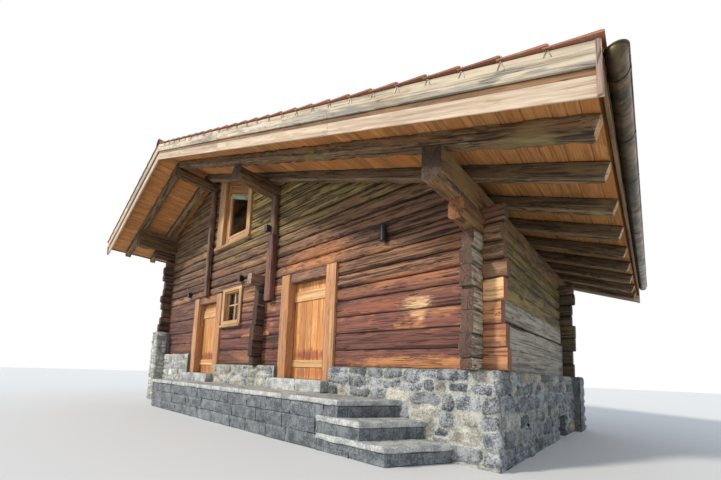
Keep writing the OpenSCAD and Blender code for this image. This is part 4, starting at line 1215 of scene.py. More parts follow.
# %% One tile
TILE_GAUGE, TILE_OVER, TILE_LOW, TILE_HIGH, RIDGE_R = 0.33, 0.02, 0.012, 0.038, 0.12
TILE_Y0 = -VERGE_FRONT - VERGE_UP_T - TILE_OVER
TILE_Y1 = HOUSE_DEP + VERGE_REAR + VERGE_UP_T + TILE_OVER
TILE_W = (TILE_Y1 - TILE_Y0) / round((TILE_Y1 - TILE_Y0) / 0.21)
ACROSS = np.array([0, 0.04, 0.11, 0.17, 0.3, 0.46, 0.52, 0.58, 0.72, 0.88, 0.98, 1.0])
PROFILE = np.array([-0.002, 0, 0, -0.008, -0.01, -0.009, -0.003, -0.009, -0.01, -0.009, -0.006, -0.008])
ALONG = np.array([-0.1, 0.45, 0.95, 1.0, 1.0, -0.1])
LIFT = np.array([0, 0, 0, -0.005, -0.018, -0.012])
PROFILE_SHARE = [1, 1, 1, 1, 0.6, 0.6]
TILE_END = np.array([0, 0, 0, 1.0, 1.0, 0])


def tile_faces(rows, columns):
    """The tile's skin, and its two sides."""
    right_side = tuple(r * columns + columns - 1 for r in reversed(range(rows)))
    return [*grid(rows, columns), tuple(r * columns for r in range(rows)), right_side]


print("a tile is", round(TILE_W, 3), "m wide")

# %% [markdown]
# The courses run from the ridge to the eave, and each tile's lower end is lifted by the tile
# under it.

# %% Tile courses
def tile_courses(reach):
    length = reach + TILE_OVER - RIDGE_R
    count = round(length / (TILE_GAUGE * SLOPE_COS))
    return [(RIDGE_R + i * length / count, RIDGE_R + (i + 1) * length / count) for i in range(count)]


def tile_field(name, seed, way, reach, node):
    build = Build(seed)
    rng = build.rng
    faces = tile_faces(len(ALONG), len(ACROSS))
    faces = faces if way < 0 else [f[::-1] for f in faces]
    along = np.repeat(ALONG, len(ACROSS))
    for h0, h1 in tile_courses(reach):
        for y in np.arange(TILE_Y0, TILE_Y1 - TILE_W / 2, TILE_W):
            h = h0 + (h1 - h0) * along + rng.normal(0, 0.0015)
            lift = TILE_LOW + (TILE_HIGH - TILE_LOW) * np.clip(along, 0, 1) + np.repeat(LIFT, len(ACROSS))
            lift = lift + np.tile(PROFILE, len(ALONG)) * np.repeat(PROFILE_SHARE, len(ACROSS))
            lift = lift + rng.normal(0, 0.0008) * along
            across = y + TILE_W * np.tile(ACROSS, len(ALONG))
            x = X0 - RIDGE_X + way * h
            z = Z0 + RIDGE_Z - SLOPE * h + lift / SLOPE_COS
            build.add(np.column_stack([x, Y0 + across, z]), faces, tone=rng.uniform(0, 1),
                      end=np.repeat(TILE_END, len(ACROSS)))
    build.make(name, CLAY, "clay_tiles", node, sharp=30)


for index, (name, (way, reach)) in enumerate(SLOPES.items()):
    tile_field(name + "_clay_tiles", 61 + index, way, reach, name + "_tiles")

# %% [markdown]
# Ridge tiles are half-round caps. Each is a little wider at one end and laps over the next. The
# rings below give the cap's section from its inner lip, over the rim, to the far end.

# %% Ridge tiles
RIDGE_TILE_LEN, RIDGE_TILE_T = 0.355, 0.014
CAP_RINGS = [(0.0, RIDGE_R - RIDGE_TILE_T), (0.0, RIDGE_R - 0.002), (0.06, RIDGE_R), (0.1, RIDGE_R - 0.004),
             (1.0, RIDGE_R - 0.012), (1.0, RIDGE_R - RIDGE_TILE_T - 0.012)]
CAP_END = [1, 1, 0.5, 0, 0, 0]
CAP_ANGLES = np.radians(np.linspace(-14, 194, 15))

caps = Build(63)
count = round((TILE_Y1 - TILE_Y0) / RIDGE_TILE_LEN)
step = (TILE_Y1 - TILE_Y0) / count
faces = grid(len(CAP_RINGS), len(CAP_ANGLES), inward=True)
for i in range(count):
    y = TILE_Y0 + i * step
    verts = [at(-RIDGE_X + r * math.cos(a), y + f * step, RIDGE_Z + r * math.sin(a)) for f, r in CAP_RINGS
             for a in CAP_ANGLES]
    caps.add(np.array(verts), faces, tone=caps.rng.uniform(0, 1),
             end=np.repeat(CAP_END, len(CAP_ANGLES)))
caps.make("ridge_clay_tiles", CLAY, "clay_tiles", "ridge_tiles", sharp=40)

# %% [markdown]
# The roof's edge on each gable: a weathered upper board that stands proud, a strip set back
# below it and coloured brown as painted shade in the recess, a cream lower board and a thin trim,
# butted end to end. They differ only in what the table gives: depth from and to, out from and to,
# finish, slot and node.

# %% Verge boards
VERGE_LAYERS = {
    "verge_top_boards": (0.004, 0.165, 0.002, VERGE_UP_T, VERGE_GREY, "verge_grey", "verge_upper_boards"),
    "verge_recess_shade_strips": (0.158, 0.216, -0.014, 0.0, RECESS_SHADE_STRIP, "verge_cream", None),
    "verge_foot_boards": (0.21, 0.336, -0.034, 0.0, VERGE_CREAM, "verge_cream", "verge_lower_boards"),
    "verge_trims": (0.326, 0.35, -0.014, 0.006, VERGE_CREAM, "verge_cream", None),
}
VERGE_JOINTS = {"right": (0.0, 3.1, 5.9), "left": (0.0, 2.2)}
VERGE_YS = ((-VERGE_FRONT, -1), (HOUSE_DEP + VERGE_REAR, 1))
BUTT = 0.0015


def sloped_board(build, way, h0, h1, depth0, depth1, y, thick, **kind):
    """A board along a slope, between two depths under the roof's top, with upright sides."""
    depth = (depth0 + depth1) / 2
    timber(build, on_roof(way, h0, y, depth), on_roof(way, h1, y, depth), board(thick, depth1 - depth0),
           side=(0, 1, 0), over=(0, 0, 1 / SLOPE_COS), **kind)


def verge_layer(name, seed, depth0, depth1, out0, out1, material, slot, node):
    build = Build(seed)
    for y, way_y in VERGE_YS:
        middle = y + way_y * (out0 + out1) / 2
        for slope, (way, reach) in SLOPES.items():
            joints = [*VERGE_JOINTS[slope], reach]
            for h0, h1 in zip(joints[:-1], joints[1:]):
                sloped_board(build, way, h0 + BUTT, h1 - BUTT, depth0, depth1, middle, out1 - out0,
                             rough=0.0015, step=0.5, chamfer=0.004)
    build.make(name, material, slot, node)


for index, (name, layer) in enumerate(VERGE_LAYERS.items()):
    verge_layer(name, 71 + index, *layer)

# %% [markdown]
# A thin board closes each eave, and small upright boards end the verges there. Both follow the
# roof's slope at their upper edge.

# %% Eave boards
EAVE_DEPTH, VERGE_DEPTH, END_BOARD, END_BOARD_T, END_OVER = 0.172, 0.35, 0.036, 0.028, 0.02
eave, ends = Build(75), Build(76)
for way, reach in SLOPES.values():
    x = -RIDGE_X + way * (reach - EAVE_BOARD_T / 2)
    height = EAVE_DEPTH / SLOPE_COS
    along_y(eave, x, BOARD_Y0, BOARD_Y1, roof_z(x) - height / 2, board(EAVE_BOARD_T, height), rough=0.001,
            step=0.9, chamfer=0.003, shape=under(0.0))
    for y, way_y in VERGE_YS:
        x = -RIDGE_X + way * (reach - END_BOARD / 2)
        upright(ends, x, y + way_y * 0.011, roof_z(x) - VERGE_DEPTH / SLOPE_COS, roof_z(x) + END_OVER,
                board(END_BOARD - 0.002, END_BOARD_T), rough=0.001, step=0.2, chamfer=0.003,
                shape=under(0.001))
eave.make("eave_edge_boards", EAVE_WOOD, "verge_cream", "eave_boards")
ends.make("verge_end_boards", PINK_BOARD, "verge_cream")

# %% [markdown]
# Storm clips: bent wires that hold the outermost tile of every course down on the verge board.
# A curve with a bevel would give round wire, but at two millimetres four sides are enough.

# %% Tile clips
CLIP = np.array([(-1, -1), (1, -1), (1, 1), (-1, 1)]) * 0.0022
CLIP_IN, CLIP_LOW = 0.014, -0.034
clips = Build(77)
for y in (TILE_Y0 + CLIP_IN, TILE_Y1 - CLIP_IN):
    for way, reach in SLOPES.values():
        for _, h in tile_courses(reach)[:-1]:
            h += clips.rng.uniform(-0.01, 0.01)
            top = clips.rng.uniform(0.045, 0.07)
            for lean in (-0.02, 0.02):
                foot, head = on_roof(way, h - lean * 0.6, y, CLIP_LOW), on_roof(way, h + lean * 1.2, y, top)
                timber(clips, foot, head, CLIP, rough=0, step=1, chamfer=0, ends=(None, None))
clips.make("tile_clips", WIRE, "iron")

# %% [markdown]
# The copper gutter hangs along the right eave: a half-round trough with a rolled bead on its
# outer lip and a rounded end. A revolved profile would make a plain pipe, so the trough is swept
# from a half circle that shrinks to a quarter sphere at both ends, and the bead follows its lip.

# %% Gutter shapes
GUTTER_X, GUTTER_R, GUTTER_Z, GUTTER_T, BEAD_R = 1.352, 0.0605, 1.955, 0.004, 0.008
GUTTER_DEEP, GUTTER_ROWS, TUBE_SIDES = 1.2, 24, 10


def trough(build, y0, y1, radius, thick, round_ends=True):
    """A half-round sheet below its lip; rounded ends close it like a quarter sphere."""
    y, size = [y0, y1], [1.0, 1.0]
    if round_ends:
        f = np.radians(np.linspace(0, 90, 9))
        y = [y0 + radius * (1 - math.cos(a)) for a in f] + [y1 - radius * (1 - math.cos(a)) for a in f[::-1]]
        size = [math.sin(a) for a in [*f, *f[::-1]]]
    angles = np.radians(np.linspace(180, 360, GUTTER_ROWS))
    verts = []
    for shell in (radius, radius - thick):
        for place, s in zip(y, size):
            r = max(s, 0.02) * shell
            deep = r * GUTTER_DEEP
            verts += [at(GUTTER_X + r * math.cos(a), place, GUTTER_Z + deep * math.sin(a)) for a in angles]
    inner = len(y) * GUTTER_ROWS
    faces = []
    for r in range(len(y) - 1):
        for c in range(GUTTER_ROWS - 1):
            a, b = r * GUTTER_ROWS + c, (r + 1) * GUTTER_ROWS + c
            faces += [(a, a + 1, b + 1, b), (a + inner, b + inner, b + inner + 1, a + inner + 1)]
        for c in (0, GUTTER_ROWS - 1):
            a, b = r * GUTTER_ROWS + c, (r + 1) * GUTTER_ROWS + c
            lip = (a, b, b + inner, a + inner)
            faces.append(lip if c == 0 else lip[::-1])
    build.add(np.array([tuple(v) for v in verts]), faces)


def tube(build, points, radius):
    """A round bead along a path of points."""
    m, last, verts = TUBE_SIDES, len(points) - 1, []
    for k, p in enumerate(points):
        way = (points[min(k + 1, last)] - points[max(k - 1, 0)]).normalized()
        side = way.cross(Vector((0, 0, 1))).normalized()
        over = side.cross(way)
        angles = np.arange(m) / m * 2 * math.pi
        verts += [p + (side * math.cos(a) + over * math.sin(a)) * radius for a in angles]
    faces = grid(last + 1, m, closed=True, inward=True)
    faces += [tuple(range(m)), tuple(reversed(range(last * m, (last + 1) * m)))]
    build.add(np.array([tuple(v) for v in verts]), faces)


# %% [markdown]
# The bead turns round the front end with the trough, and hooks clasp both at even distances.

# %% Gutter
GUTTER_Y0, GUTTER_Y1 = -1.455, 5.46
HOOK_Y0, HOOK_BAY, HOOK_HALF, HOOK_T = -1.2, 0.75, 0.013, 0.0035

gutter = Build(78)
trough(gutter, GUTTER_Y0, GUTTER_Y1, GUTTER_R, GUTTER_T)
turns = np.radians(np.linspace(-90, 90, 17))
lip = [(GUTTER_R * math.sin(a), GUTTER_Y0 + GUTTER_R * (1 - math.cos(a))) for a in turns]
lip += [(GUTTER_R, y) for y in np.linspace(GUTTER_Y0 + 0.1, GUTTER_Y1 - GUTTER_R, 30)]
lip = [at(GUTTER_X + x, y, GUTTER_Z) for x, y in lip]
tube(gutter, lip, BEAD_R)
gutter.make("copper_gutter", COPPER, "copper", "gutter", sharp=50)

hooks = Build(79)
for y in np.arange(HOOK_Y0, GUTTER_Y1 - 0.1, HOOK_BAY):
    trough(hooks, y - HOOK_HALF, y + HOOK_HALF, GUTTER_R + 0.004, HOOK_T, round_ends=False)
    clasp = [at(GUTTER_X + GUTTER_R, place, GUTTER_Z) for place in (y - HOOK_HALF, y + HOOK_HALF)]
    tube(hooks, clasp, BEAD_R + 0.003)
hooks.make("gutter_hooks", COPPER, "copper", "gutter_brackets", sharp=50)

# %% [markdown]
# The ironwork, the lamps, the panes and the hidden cores of the base keep their CAD meshes,
# because they are already exact there. They only need their finish.


def dress(material, *names):
    for name in names:
        mesh = nodes[name].data
        mesh.materials.clear()
        mesh.materials.append(material)


dress(IRON, "door_1_straps", "door_2_straps", "door_hinges")
dress(LAMP_METAL, "wall_lamps")
dress(GLASS, "window_glass")
dress(CORE_STONE, "base_front", "base_rear", "base_left", "base_right")
print("kept nodes have their finish")

# %% [markdown]
# Posts against the gable carry the ridge and the middle purlin. The middle one is painted red
# below and is round and bare above; beside the ridge post stands a flat board.

# %% Gable posts
POST_W, POST_OUT, MID_SHIFT, PAINT_TOP = 0.19, 0.13, 0.06, 2.64
MID_POST_X, MID_POST_Z = PURLIN_X + MID_SHIFT, row_z(BEAMS + 1)
FLAT_X, FLAT_Y = -RIDGE_X - 0.07, -0.03


def purlin_foot(x, d):
    return roof_z(x, RAFTER_LOW) - d + PURLIN_FLAT + 0.02


red_post, bare_posts = Build(81), Build(82)
upright(red_post, MID_POST_X, -POST_OUT / 2, MID_POST_Z, PAINT_TOP, rounded(POST_W, POST_OUT, 0.02, 2, 2, 2),
        rough=0.01, bend=0.004)
timber(bare_posts, at(MID_POST_X + 0.01, -POST_OUT / 2 + 0.005, PAINT_TOP),
       at(MID_POST_X - 0.005, -POST_OUT / 2 + 0.005, purlin_foot(PURLIN_X, MIDDLE_D)),
       rounded(POST_W - 0.03, POST_OUT - 0.01, 0.05, 1, 1, 3), side=(1, 0, 0), over=(0, 1, 0), rough=0.016,
       bend=0.006)
ridge_foot = purlin_foot(-RIDGE_X, RIDGE_D)
timber(bare_posts, at(-RIDGE_X + 0.025, -POST_OUT / 2, DOOR_TOP),
       at(-RIDGE_X + 0.02, -POST_OUT / 2, ridge_foot), rounded(0.14, POST_OUT, 0.055, 1, 1, 3),
       side=(1, 0, 0), over=(0, 1, 0), rough=0.016, bend=0.008)
upright(red_post, FLAT_X, FLAT_Y, DOOR_TOP, ridge_foot, rounded(0.05, 0.06, 0.008), rough=0.006)
red_post.make("red_gable_post", RED_POST, "posts", "gable_posts")
bare_posts.make("bare_gable_posts", GREY_POST, "posts")

# %% [markdown]
# Doors: six upright boards with two cross battens on the outside, hung behind heavy posts. The
# leaf and its battens ride on the door's own body, so they swing inward with it; posts, heads
# and thresholds stay with the house.

# %% Doors
LEAF_Y, LEAF_T, BATTEN_T, LEAF_GAP, LEAF_BOARDS = LOG_T + JAMB_IN, 0.045, 0.022, 0.006, 6
POST_Y0, POST_Y1, HEAD_Y, HEAD_T = -0.045, LOG_T + JAMB_IN, 0.0625, 0.155
BATTENS = {"low": (0.2, 0.13), "high": (1.42, 0.2)}
PLANED = {"rough": 0.0015, "step": 0.3, "chamfer": 0.003}
leaf_middle, post_middle = LEAF_Y - LEAF_T / 2, (POST_Y0 + POST_Y1) / 2
batten_y = LEAF_Y - LEAF_T - BATTEN_T / 2

for index, (door, x) in enumerate(DOORS.items()):
    leaf, battens, posts, head = (Build(first + index) for first in (91, 93, 95, 97))
    x0, x1 = x - DOOR_W / 2 + LEAF_GAP, x + DOOR_W / 2 - LEAF_GAP
    z0, z1 = SILL + LEAF_GAP, DOOR_HEAD - LEAF_GAP
    width = (x1 - x0) / LEAF_BOARDS
    for k in range(LEAF_BOARDS):
        upright(leaf, x0 + (k + 0.5) * width, leaf_middle, z0, z1, rounded(width - 0.002, LEAF_T, 0.006),
                **PLANED)
    for foot, height in BATTENS.values():
        along_x(battens, x0, x1, batten_y, z0 + foot + height / 2, rounded(BATTEN_T - 0.001, height, 0.005),
                **PLANED)
    for way in (-1, 1):
        upright(posts, x + way * (DOOR_W + JAMB_W) / 2, post_middle, SILL, DOOR_TOP,
                rounded(JAMB_W, POST_Y1 - POST_Y0, 0.012, 2, 2, 2), rough=0.005, bend=0.002)
    along_x(head, x - DOOR_W / 2, x + DOOR_W / 2, HEAD_Y, (DOOR_HEAD + DOOR_TOP) / 2,
            rounded(HEAD_T, HEAD_H, 0.012, 2, 2, 2), rough=0.006)
    leaf.make(door + "_boards", DOOR_BOARDS, "door_boards", door + "_leaf", body=door)
    battens.make(door + "_battens", DOOR_BATTENS, "door_boards", body=door)
    posts.make(door + "_posts", DOOR_POSTS, "door_posts", door + "_frame")
    head.make(door + "_head", LINTEL, "brown_logs")

# %% [markdown]
# The small window: a casing of pale boards round a hole in the logs, a sill, a mullion and a
# bar. Joiners call upright parts stiles and level ones rails. Two helpers make them from their
# edges, in metres from the house's lines.

# %% Small window
JOINERY = {"rough": 0.002, "step": 0.3, "chamfer": 0.003}


def stile(build, x, width, y0, y1, z0, z1, **kind):
    upright(build, x, (y0 + y1) / 2, z0, z1, board(width, y1 - y0), **JOINERY, **kind)


def rail(build, x0, x1, y0, y1, z0, z1):
    along_x(build, x0, x1, (y0 + y1) / 2, (z0 + z1) / 2, board(y1 - y0, z1 - z0), **JOINERY)


SMALL_X, SMALL_W, SMALL_Z, SMALL_H, CASING = -5.8, 0.7, 0.985, 0.72, 0.075
CASING_Y, SILL_Y, LINING_Y = (-0.045, 0.0), (-0.085, 0.0), (-0.03, LOG_T - 0.01)
small = Build(101)
low, high = SMALL_Z, SMALL_Z + SMALL_H
for way in (-1, 1):
    stile(small, SMALL_X + way * (SMALL_W / 2 + 0.0225), 0.105, *CASING_Y, low - CASING, high + 0.01)
    stile(small, SMALL_X + way * (SMALL_W / 2 - 0.015), 0.03, *LINING_Y, low, high)
    stile(small, SMALL_X + way * (SMALL_W / 2 - 0.05), 0.045, 0.05, 0.1, low + 0.03, high - 0.03)
rail(small, SMALL_X - 0.425, SMALL_X + 0.425, *CASING_Y, high + 0.01, high + CASING)
rail(small, SMALL_X - 0.32, SMALL_X + 0.32, *CASING_Y, low - CASING, low + 0.03)
rail(small, SMALL_X - 0.455, SMALL_X + 0.455, *SILL_Y, low - CASING - 0.045, low - CASING)
for z in (low + 0.015, high - 0.015):
    rail(small, SMALL_X - 0.34, SMALL_X + 0.34, *LINING_Y, z - 0.015, z + 0.015)
stile(small, SMALL_X, 0.045, 0.055, 0.095, low + 0.03, high - 0.03)
rail(small, SMALL_X - 0.32, SMALL_X + 0.32, 0.06, 0.09, low + 0.4, low + 0.43)
small.make("small_window_casing", WINDOW_WOOD, "window_wood", "small_window")

# %% [markdown]
# The upper window stands between two posts that reach the roof, so its head is slanted: dark
# liner on the left, pale casing round the pane, a pale green top rail, and an orange head board
# above. The slanted boards lie along the roof, as the verge boards do.

# %% Upper window
UPPER_X, UPPER_Z, UPPER_GLASS, UPPER_TOP = -5.875, 2.93, 0.43, 0.615
UPPER_POSTS = {-1: (0.625, 0.28), 1: (0.485, 0.15)}
FRAME_Y, PANEL_Y, FRAME_W = (0.03, 0.112), (0.04, 0.1), 0.05
casing, liner, header, top_rail = (Build(seed) for seed in (102, 103, 104, 105))
to_roof = under(UNDER_BOARDS)
for way, (inner, post) in UPPER_POSTS.items():
    x = UPPER_X + way * (inner + post / 2)
    stile(casing, x, post, -0.045, LOG_T, UPPER_Z, roof_z(x - post / 2, BOARD_T), shape=to_roof)
    x = UPPER_X + way * (UPPER_GLASS + FRAME_W / 2)
    stile(casing, x, FRAME_W + 0.005, *FRAME_Y, UPPER_Z + 0.05, roof_z(x, UPPER_TOP - 0.05))
(left, left_post), (right_side, right_post) = UPPER_POSTS[-1], UPPER_POSTS[1]
x = UPPER_X - (left + UPPER_GLASS + FRAME_W) / 2
stile(liner, x, left - UPPER_GLASS - FRAME_W, *PANEL_Y, UPPER_Z, roof_z(x, BOARD_T), shape=to_roof)
rail(casing, UPPER_X - left, UPPER_X + right_side, *PANEL_Y, UPPER_Z, UPPER_Z + 0.18)
rail(casing, UPPER_X - UPPER_GLASS, UPPER_X + UPPER_GLASS, *FRAME_Y, UPPER_Z + 0.17, UPPER_Z + 0.22 + 0.01)
rail(casing, UPPER_X - (left + left_post) - 0.03, UPPER_X + (right_side + right_post) + 0.03, *SILL_Y,
     UPPER_Z - 0.06, UPPER_Z)


def slanted(build, depth0, depth1, y0, y1, half):
    """A board under the roof, parallel to it."""
    h0, h1 = UPPER_X - half + RIDGE_X, UPPER_X + half + RIDGE_X
    sloped_board(build, 1, h0, h1, depth0, depth1, (y0 + y1) / 2, y1 - y0, **JOINERY)


slanted(top_rail, UPPER_TOP - 0.1, UPPER_TOP + 0.012, *FRAME_Y, UPPER_GLASS)
slanted(header, UNDER_BOARDS, UPPER_TOP - 0.1, *PANEL_Y, UPPER_GLASS + FRAME_W)
casing.make("upper_window_casing", WINDOW_WOOD, "window_wood", "upper_window")
liner.make("upper_window_liner", HEAD_BOARD, "posts")
header.make("upper_window_head", HEAD_BOARD, "soffit")
top_rail.make("upper_window_rail", GREEN_RAIL, "window_wood")

# %% [markdown]
# Wide grey planks are nailed over the lower right wall. They have never been planed, and a
# rotten dip at the top of the middle one leaves a black gap.

# %% Cladding
CLAD_T, CLAD_Y0, CLAD_Y1, CLAD_SHORT = 0.04, 0.19, HOUSE_DEP - 0.19, 0.16
DIP_TOP, DIP_DEEP, DIP_MIDDLE, DIP_HALF = 0.64, 0.045, 1.15, 0.55
clad = Build(111)


def dip(points):
    """Lowers the plank's upper edge where it has rotted."""
    y = points[..., 1] - Y0
    gap = DIP_DEEP * np.exp(-((y - DIP_MIDDLE) / DIP_HALF) ** 2)
    points[..., 2] = np.minimum(points[..., 2], Z0 + DIP_TOP - gap)
    return points


for z0, z1, y1, shape in ((0.0, 0.3, CLAD_Y1, None), (0.303, DIP_TOP, CLAD_Y1, dip),
                          (0.665, 0.945, CLAD_Y1 - CLAD_SHORT, None)):
    along_y(clad, CLAD_T / 2, CLAD_Y0, y1, (z0 + z1) / 2, rounded(CLAD_T, z1 - z0, 0.01, 1, 5), rough=0.006,
            bend=0.001, step=0.16, shape=shape)
clad.make("right_planks", GREY_PLANKS, "grey_boards", "right_cladding")

# %% [markdown]
# Two floors of plain boards close the rooms. They show through an open door and the upper
# window.

# %% Floors
def floor_boards(name, seed, x0, x1, y0, y1, z0, z1, node):
    build = Build(seed)
    y = y0
    while y < y1 - 0.02:
        width = min(build.rng.uniform(0.18, 0.24), y1 - y)
        along_x(build, x0, x1, y + width / 2, (z0 + z1) / 2, rounded(width - 0.003, z1 - z0, 0.004),
                rough=0.001, step=1.2, chamfer=0.003)
        y += width
    build.make(name, FLOOR_WOOD, "floor_boards", node)


floor_boards("ground_floor_boards", 112, -9.45, -0.23, 0.35, 4.11, -0.32, SILL, "ground_floor")
floor_boards("upper_floor_boards", 113, -HOUSE_LEN + LOG_T, CROSS_X + LOG_T / 2, LOG_T, HOUSE_DEP - LOG_T,
             side_z(CROSS_ROWS), side_z(CROSS_ROWS) + 0.06, "upper_floor")

# %% [markdown]
# Thresholds, landing and steps are split stone. Each slab is a block of its own with chipped
# edges, on darker risers, and no two are alike in length. The right ends of landing and steps run
# slanted, so the last block of each row takes the slant.

# %% Rows of slabs
BASE_OUT, LANDING_DEP, LANDING_X1, STEP_SKEW, STEP_GOING, STEPS = 0.1, 0.8, -0.99, 0.42, 0.36, 2
TREAD_T, NOSING, LANDING_Z, BASE_FOOT, SLAB_GAP = 0.07, 0.03, -0.41, -Z0, 0.006
STEP_X0 = DOORS["door_1"] - POST_EDGE
FRONT, OUT = -BASE_OUT, -BASE_OUT - LANDING_DEP
RISE = (-BASE_FOOT + LANDING_Z) / (STEPS + 1)


def end_x(x1, y):
    """Right end of a step at a place y, along its slant."""
    return x1 - STEP_SKEW * (FRONT - y) / LANDING_DEP


def slab_row(build, x0, x1, y0, y1, z0, z1, size, skew=True, **kind):
    """Blocks side by side from x0 to x1; the last one ends on the slant."""
    x = x0
    while x < x1 - 0.01:
        width = build.rng.uniform(0.75, 1.25) * size
        last = x + width > x1 - STEP_SKEW - 0.25 * size
        following = x1 if last else x + width
        a = b = following - SLAB_GAP
        if last and skew:
            a, b = end_x(x1, y0), end_x(x1, y1)
        slab(build, [(x, y0), (a, y0), (b, y1), (x, y1)], z0, z1, **kind)
        x = following


# %% [markdown]
# The landing's front is built up in three courses, a step's in one. Every tread stands out over
# its risers by a small nosing.

# %% Thresholds and steps
treads, risers, sills = Build(121), Build(122), Build(123)
for i in range(STEPS + 1):
    top = LANDING_Z - i * RISE
    x0 = LANDING_X1 - STEP_SKEW - STEP_GOING if i else STEP_X0
    x1 = LANDING_X1 + i * STEP_GOING
    slab_row(treads, x0, x1, OUT, FRONT, top - TREAD_T, top, 1.15, rough=0.012, kind=0.35 if i else 0.1)
    low = BASE_FOOT if i in (0, STEPS) else BASE_FOOT + 0.06
    edges = np.linspace(low, top - TREAD_T, 2 if i else 4)
    for z0, z1 in zip(edges[:-1], edges[1:]):
        slab_row(risers, x0, x1 - NOSING, OUT + NOSING, FRONT, z0, z1 - 0.004, 0.6, rough=0.012, kind=0.1,
                 cell=0.07)
for x0, x1 in DOOR_EDGES.values():
    slab_row(sills, x0, x1, -0.27, 0.35, LANDING_Z, SILL, 0.75, skew=False, rough=0.014, kind=0.05)
treads.make("stone_treads", SLAB_STONE, "slabs", "entrance_steps")
risers.make("stone_risers", RISER_STONE, "slabs")
sills.make("stone_thresholds", SLAB_STONE, "slabs", "thresholds")

# %% [markdown]
# The rubble base could be a flat wall with a bump map, but its stones stand out by two or three
# centimetres and the corner shows them in outline. Modelling every stone alone would take far
# too many faces. So the wall is a skin: a fine grid that follows the wall's foot round the
# corner, pushed outward by the height of the stone at each point.
#
# The stones come from dividing the unrolled wall again and again at random, until the pieces
# have a mason's size. Smooth random values bend their seams.

# %% Dividing a wall into stones
def divide(rng, x0, x1, y0, y1, size):
    """Splits a rectangle into stones of about a size (longest, highest)."""
    w, h = x1 - x0, y1 - y0
    if w > size[0] or w > 3.2 * h:
        cut = x0 + w * rng.uniform(0.36, 0.64)
        return divide(rng, x0, cut, y0, y1, size) + divide(rng, cut, x1, y0, y1, size)
    if h > size[1] or h > 1.5 * w:
        cut = y0 + h * rng.uniform(0.36, 0.64)
        return divide(rng, x0, x1, y0, cut, size) + divide(rng, x0, x1, cut, y1, size)
    return [(x0, x1, y0, y1)]


def courses(rng, u, v, size):
    """Stones of the whole wall, course by course from its foot."""
    stones, z, top = [], v.min(), v.max()
    while z < top - 0.05:
        z1 = min(z + rng.uniform(1.3, 2.2) * size[1], top)
        z1 = z1 if top - z1 > 0.08 else top
        stones += divide(rng, u.min(), u.max(), z, z1, size)
        z = z1
    return stones


def lattice(rng, u, v, cell):
    """Smooth random values over a plane, -1 to 1."""
    a, b = u / cell, v / cell
    a, b = a - a.min(), b - b.min()
    knots = rng.uniform(-1, 1, (int(a.max()) + 3, int(b.max()) + 3))
    i, j = a.astype(int), b.astype(int)
    f, g = a - i, b - j
    f, g = f * f * (3 - 2 * f), g * g * (3 - 2 * g)
    low = knots[i, j] * (1 - f) + knots[i + 1, j] * f
    high = knots[i, j + 1] * (1 - f) + knots[i + 1, j + 1] * f
    return low * (1 - g) + high * g


# %% [markdown]
# Each stone is a turned rectangle with round corners. Its distance from the edge gives the
# shoulder, a tilt and fine bumps give the face, and what lies outside every stone is mortar.

# %% The face of the rubble
SHOULDER, MORTAR_EDGE = 0.035, 0.012


def stone_field(rng, u, v, size, joint, bed):
    """Height (0 to 1), tone, kind and mortar share at each point of an unrolled wall."""
    wu = u + 0.03 * lattice(rng, u, v, 0.17) + 0.01 * lattice(rng, u, v, 0.06)
    wv = v + 0.028 * lattice(rng, u, v, 0.22) + 0.01 * lattice(rng, u, v, 0.06)
    inside = np.full(u.shape, -1.0)
    height, tone, kind = (np.zeros(u.shape) for _ in range(3))
    for x0, x1, y0, y1 in courses(rng, u, v, size):
        gap = joint * rng.uniform(0.6, 1.5)
        hw, hh = (x1 - x0) / 2 - gap, (y1 - y0) / 2 - gap
        turn = rng.uniform(-0.12, 0.12)
        px, py = wu - (x0 + x1) / 2, wv - (y0 + y1) / 2
        qx, qy = px * math.cos(turn) - py * math.sin(turn), px * math.sin(turn) + py * math.cos(turn)
        r = min(hw, hh) * rng.uniform(0.4, 0.9)
        dx, dy = np.abs(qx) - hw + r, np.abs(qy) - hh + r
        d = r - np.hypot(np.maximum(dx, 0), np.maximum(dy, 0)) - np.minimum(np.maximum(dx, dy), 0)
        new_height = rng.uniform(0.6, 1.0) + px * rng.uniform(-1.2, 1.2) + py * rng.uniform(-1.6, 1.6)
        mine = d > inside
        inside[mine], height[mine] = d[mine], new_height[mine]
        tone[mine] = rng.uniform(0, 1)
        kind[mine] = rng.uniform(0, 1)
    shoulder = 1 - (1 - np.clip(inside / SHOULDER, 0, 1)) ** 2
    face = height + 0.2 * lattice(rng, u, v, 0.06) + 0.16 * lattice(rng, u, v, 0.032)
    bed = bed + 0.12 * lattice(rng, u, v, 0.05)
    return np.maximum(bed, face * shoulder), tone, kind, np.clip(0.5 - inside / MORTAR_EDGE, 0, 1)


# %% [markdown]
# The skin follows a path of corners seen from above, with its outer side on the right hand. At a
# corner the path turns on a small arc, so stones run round it as they do on a real quoin.

# %% The skin's path
ARC = 0.035


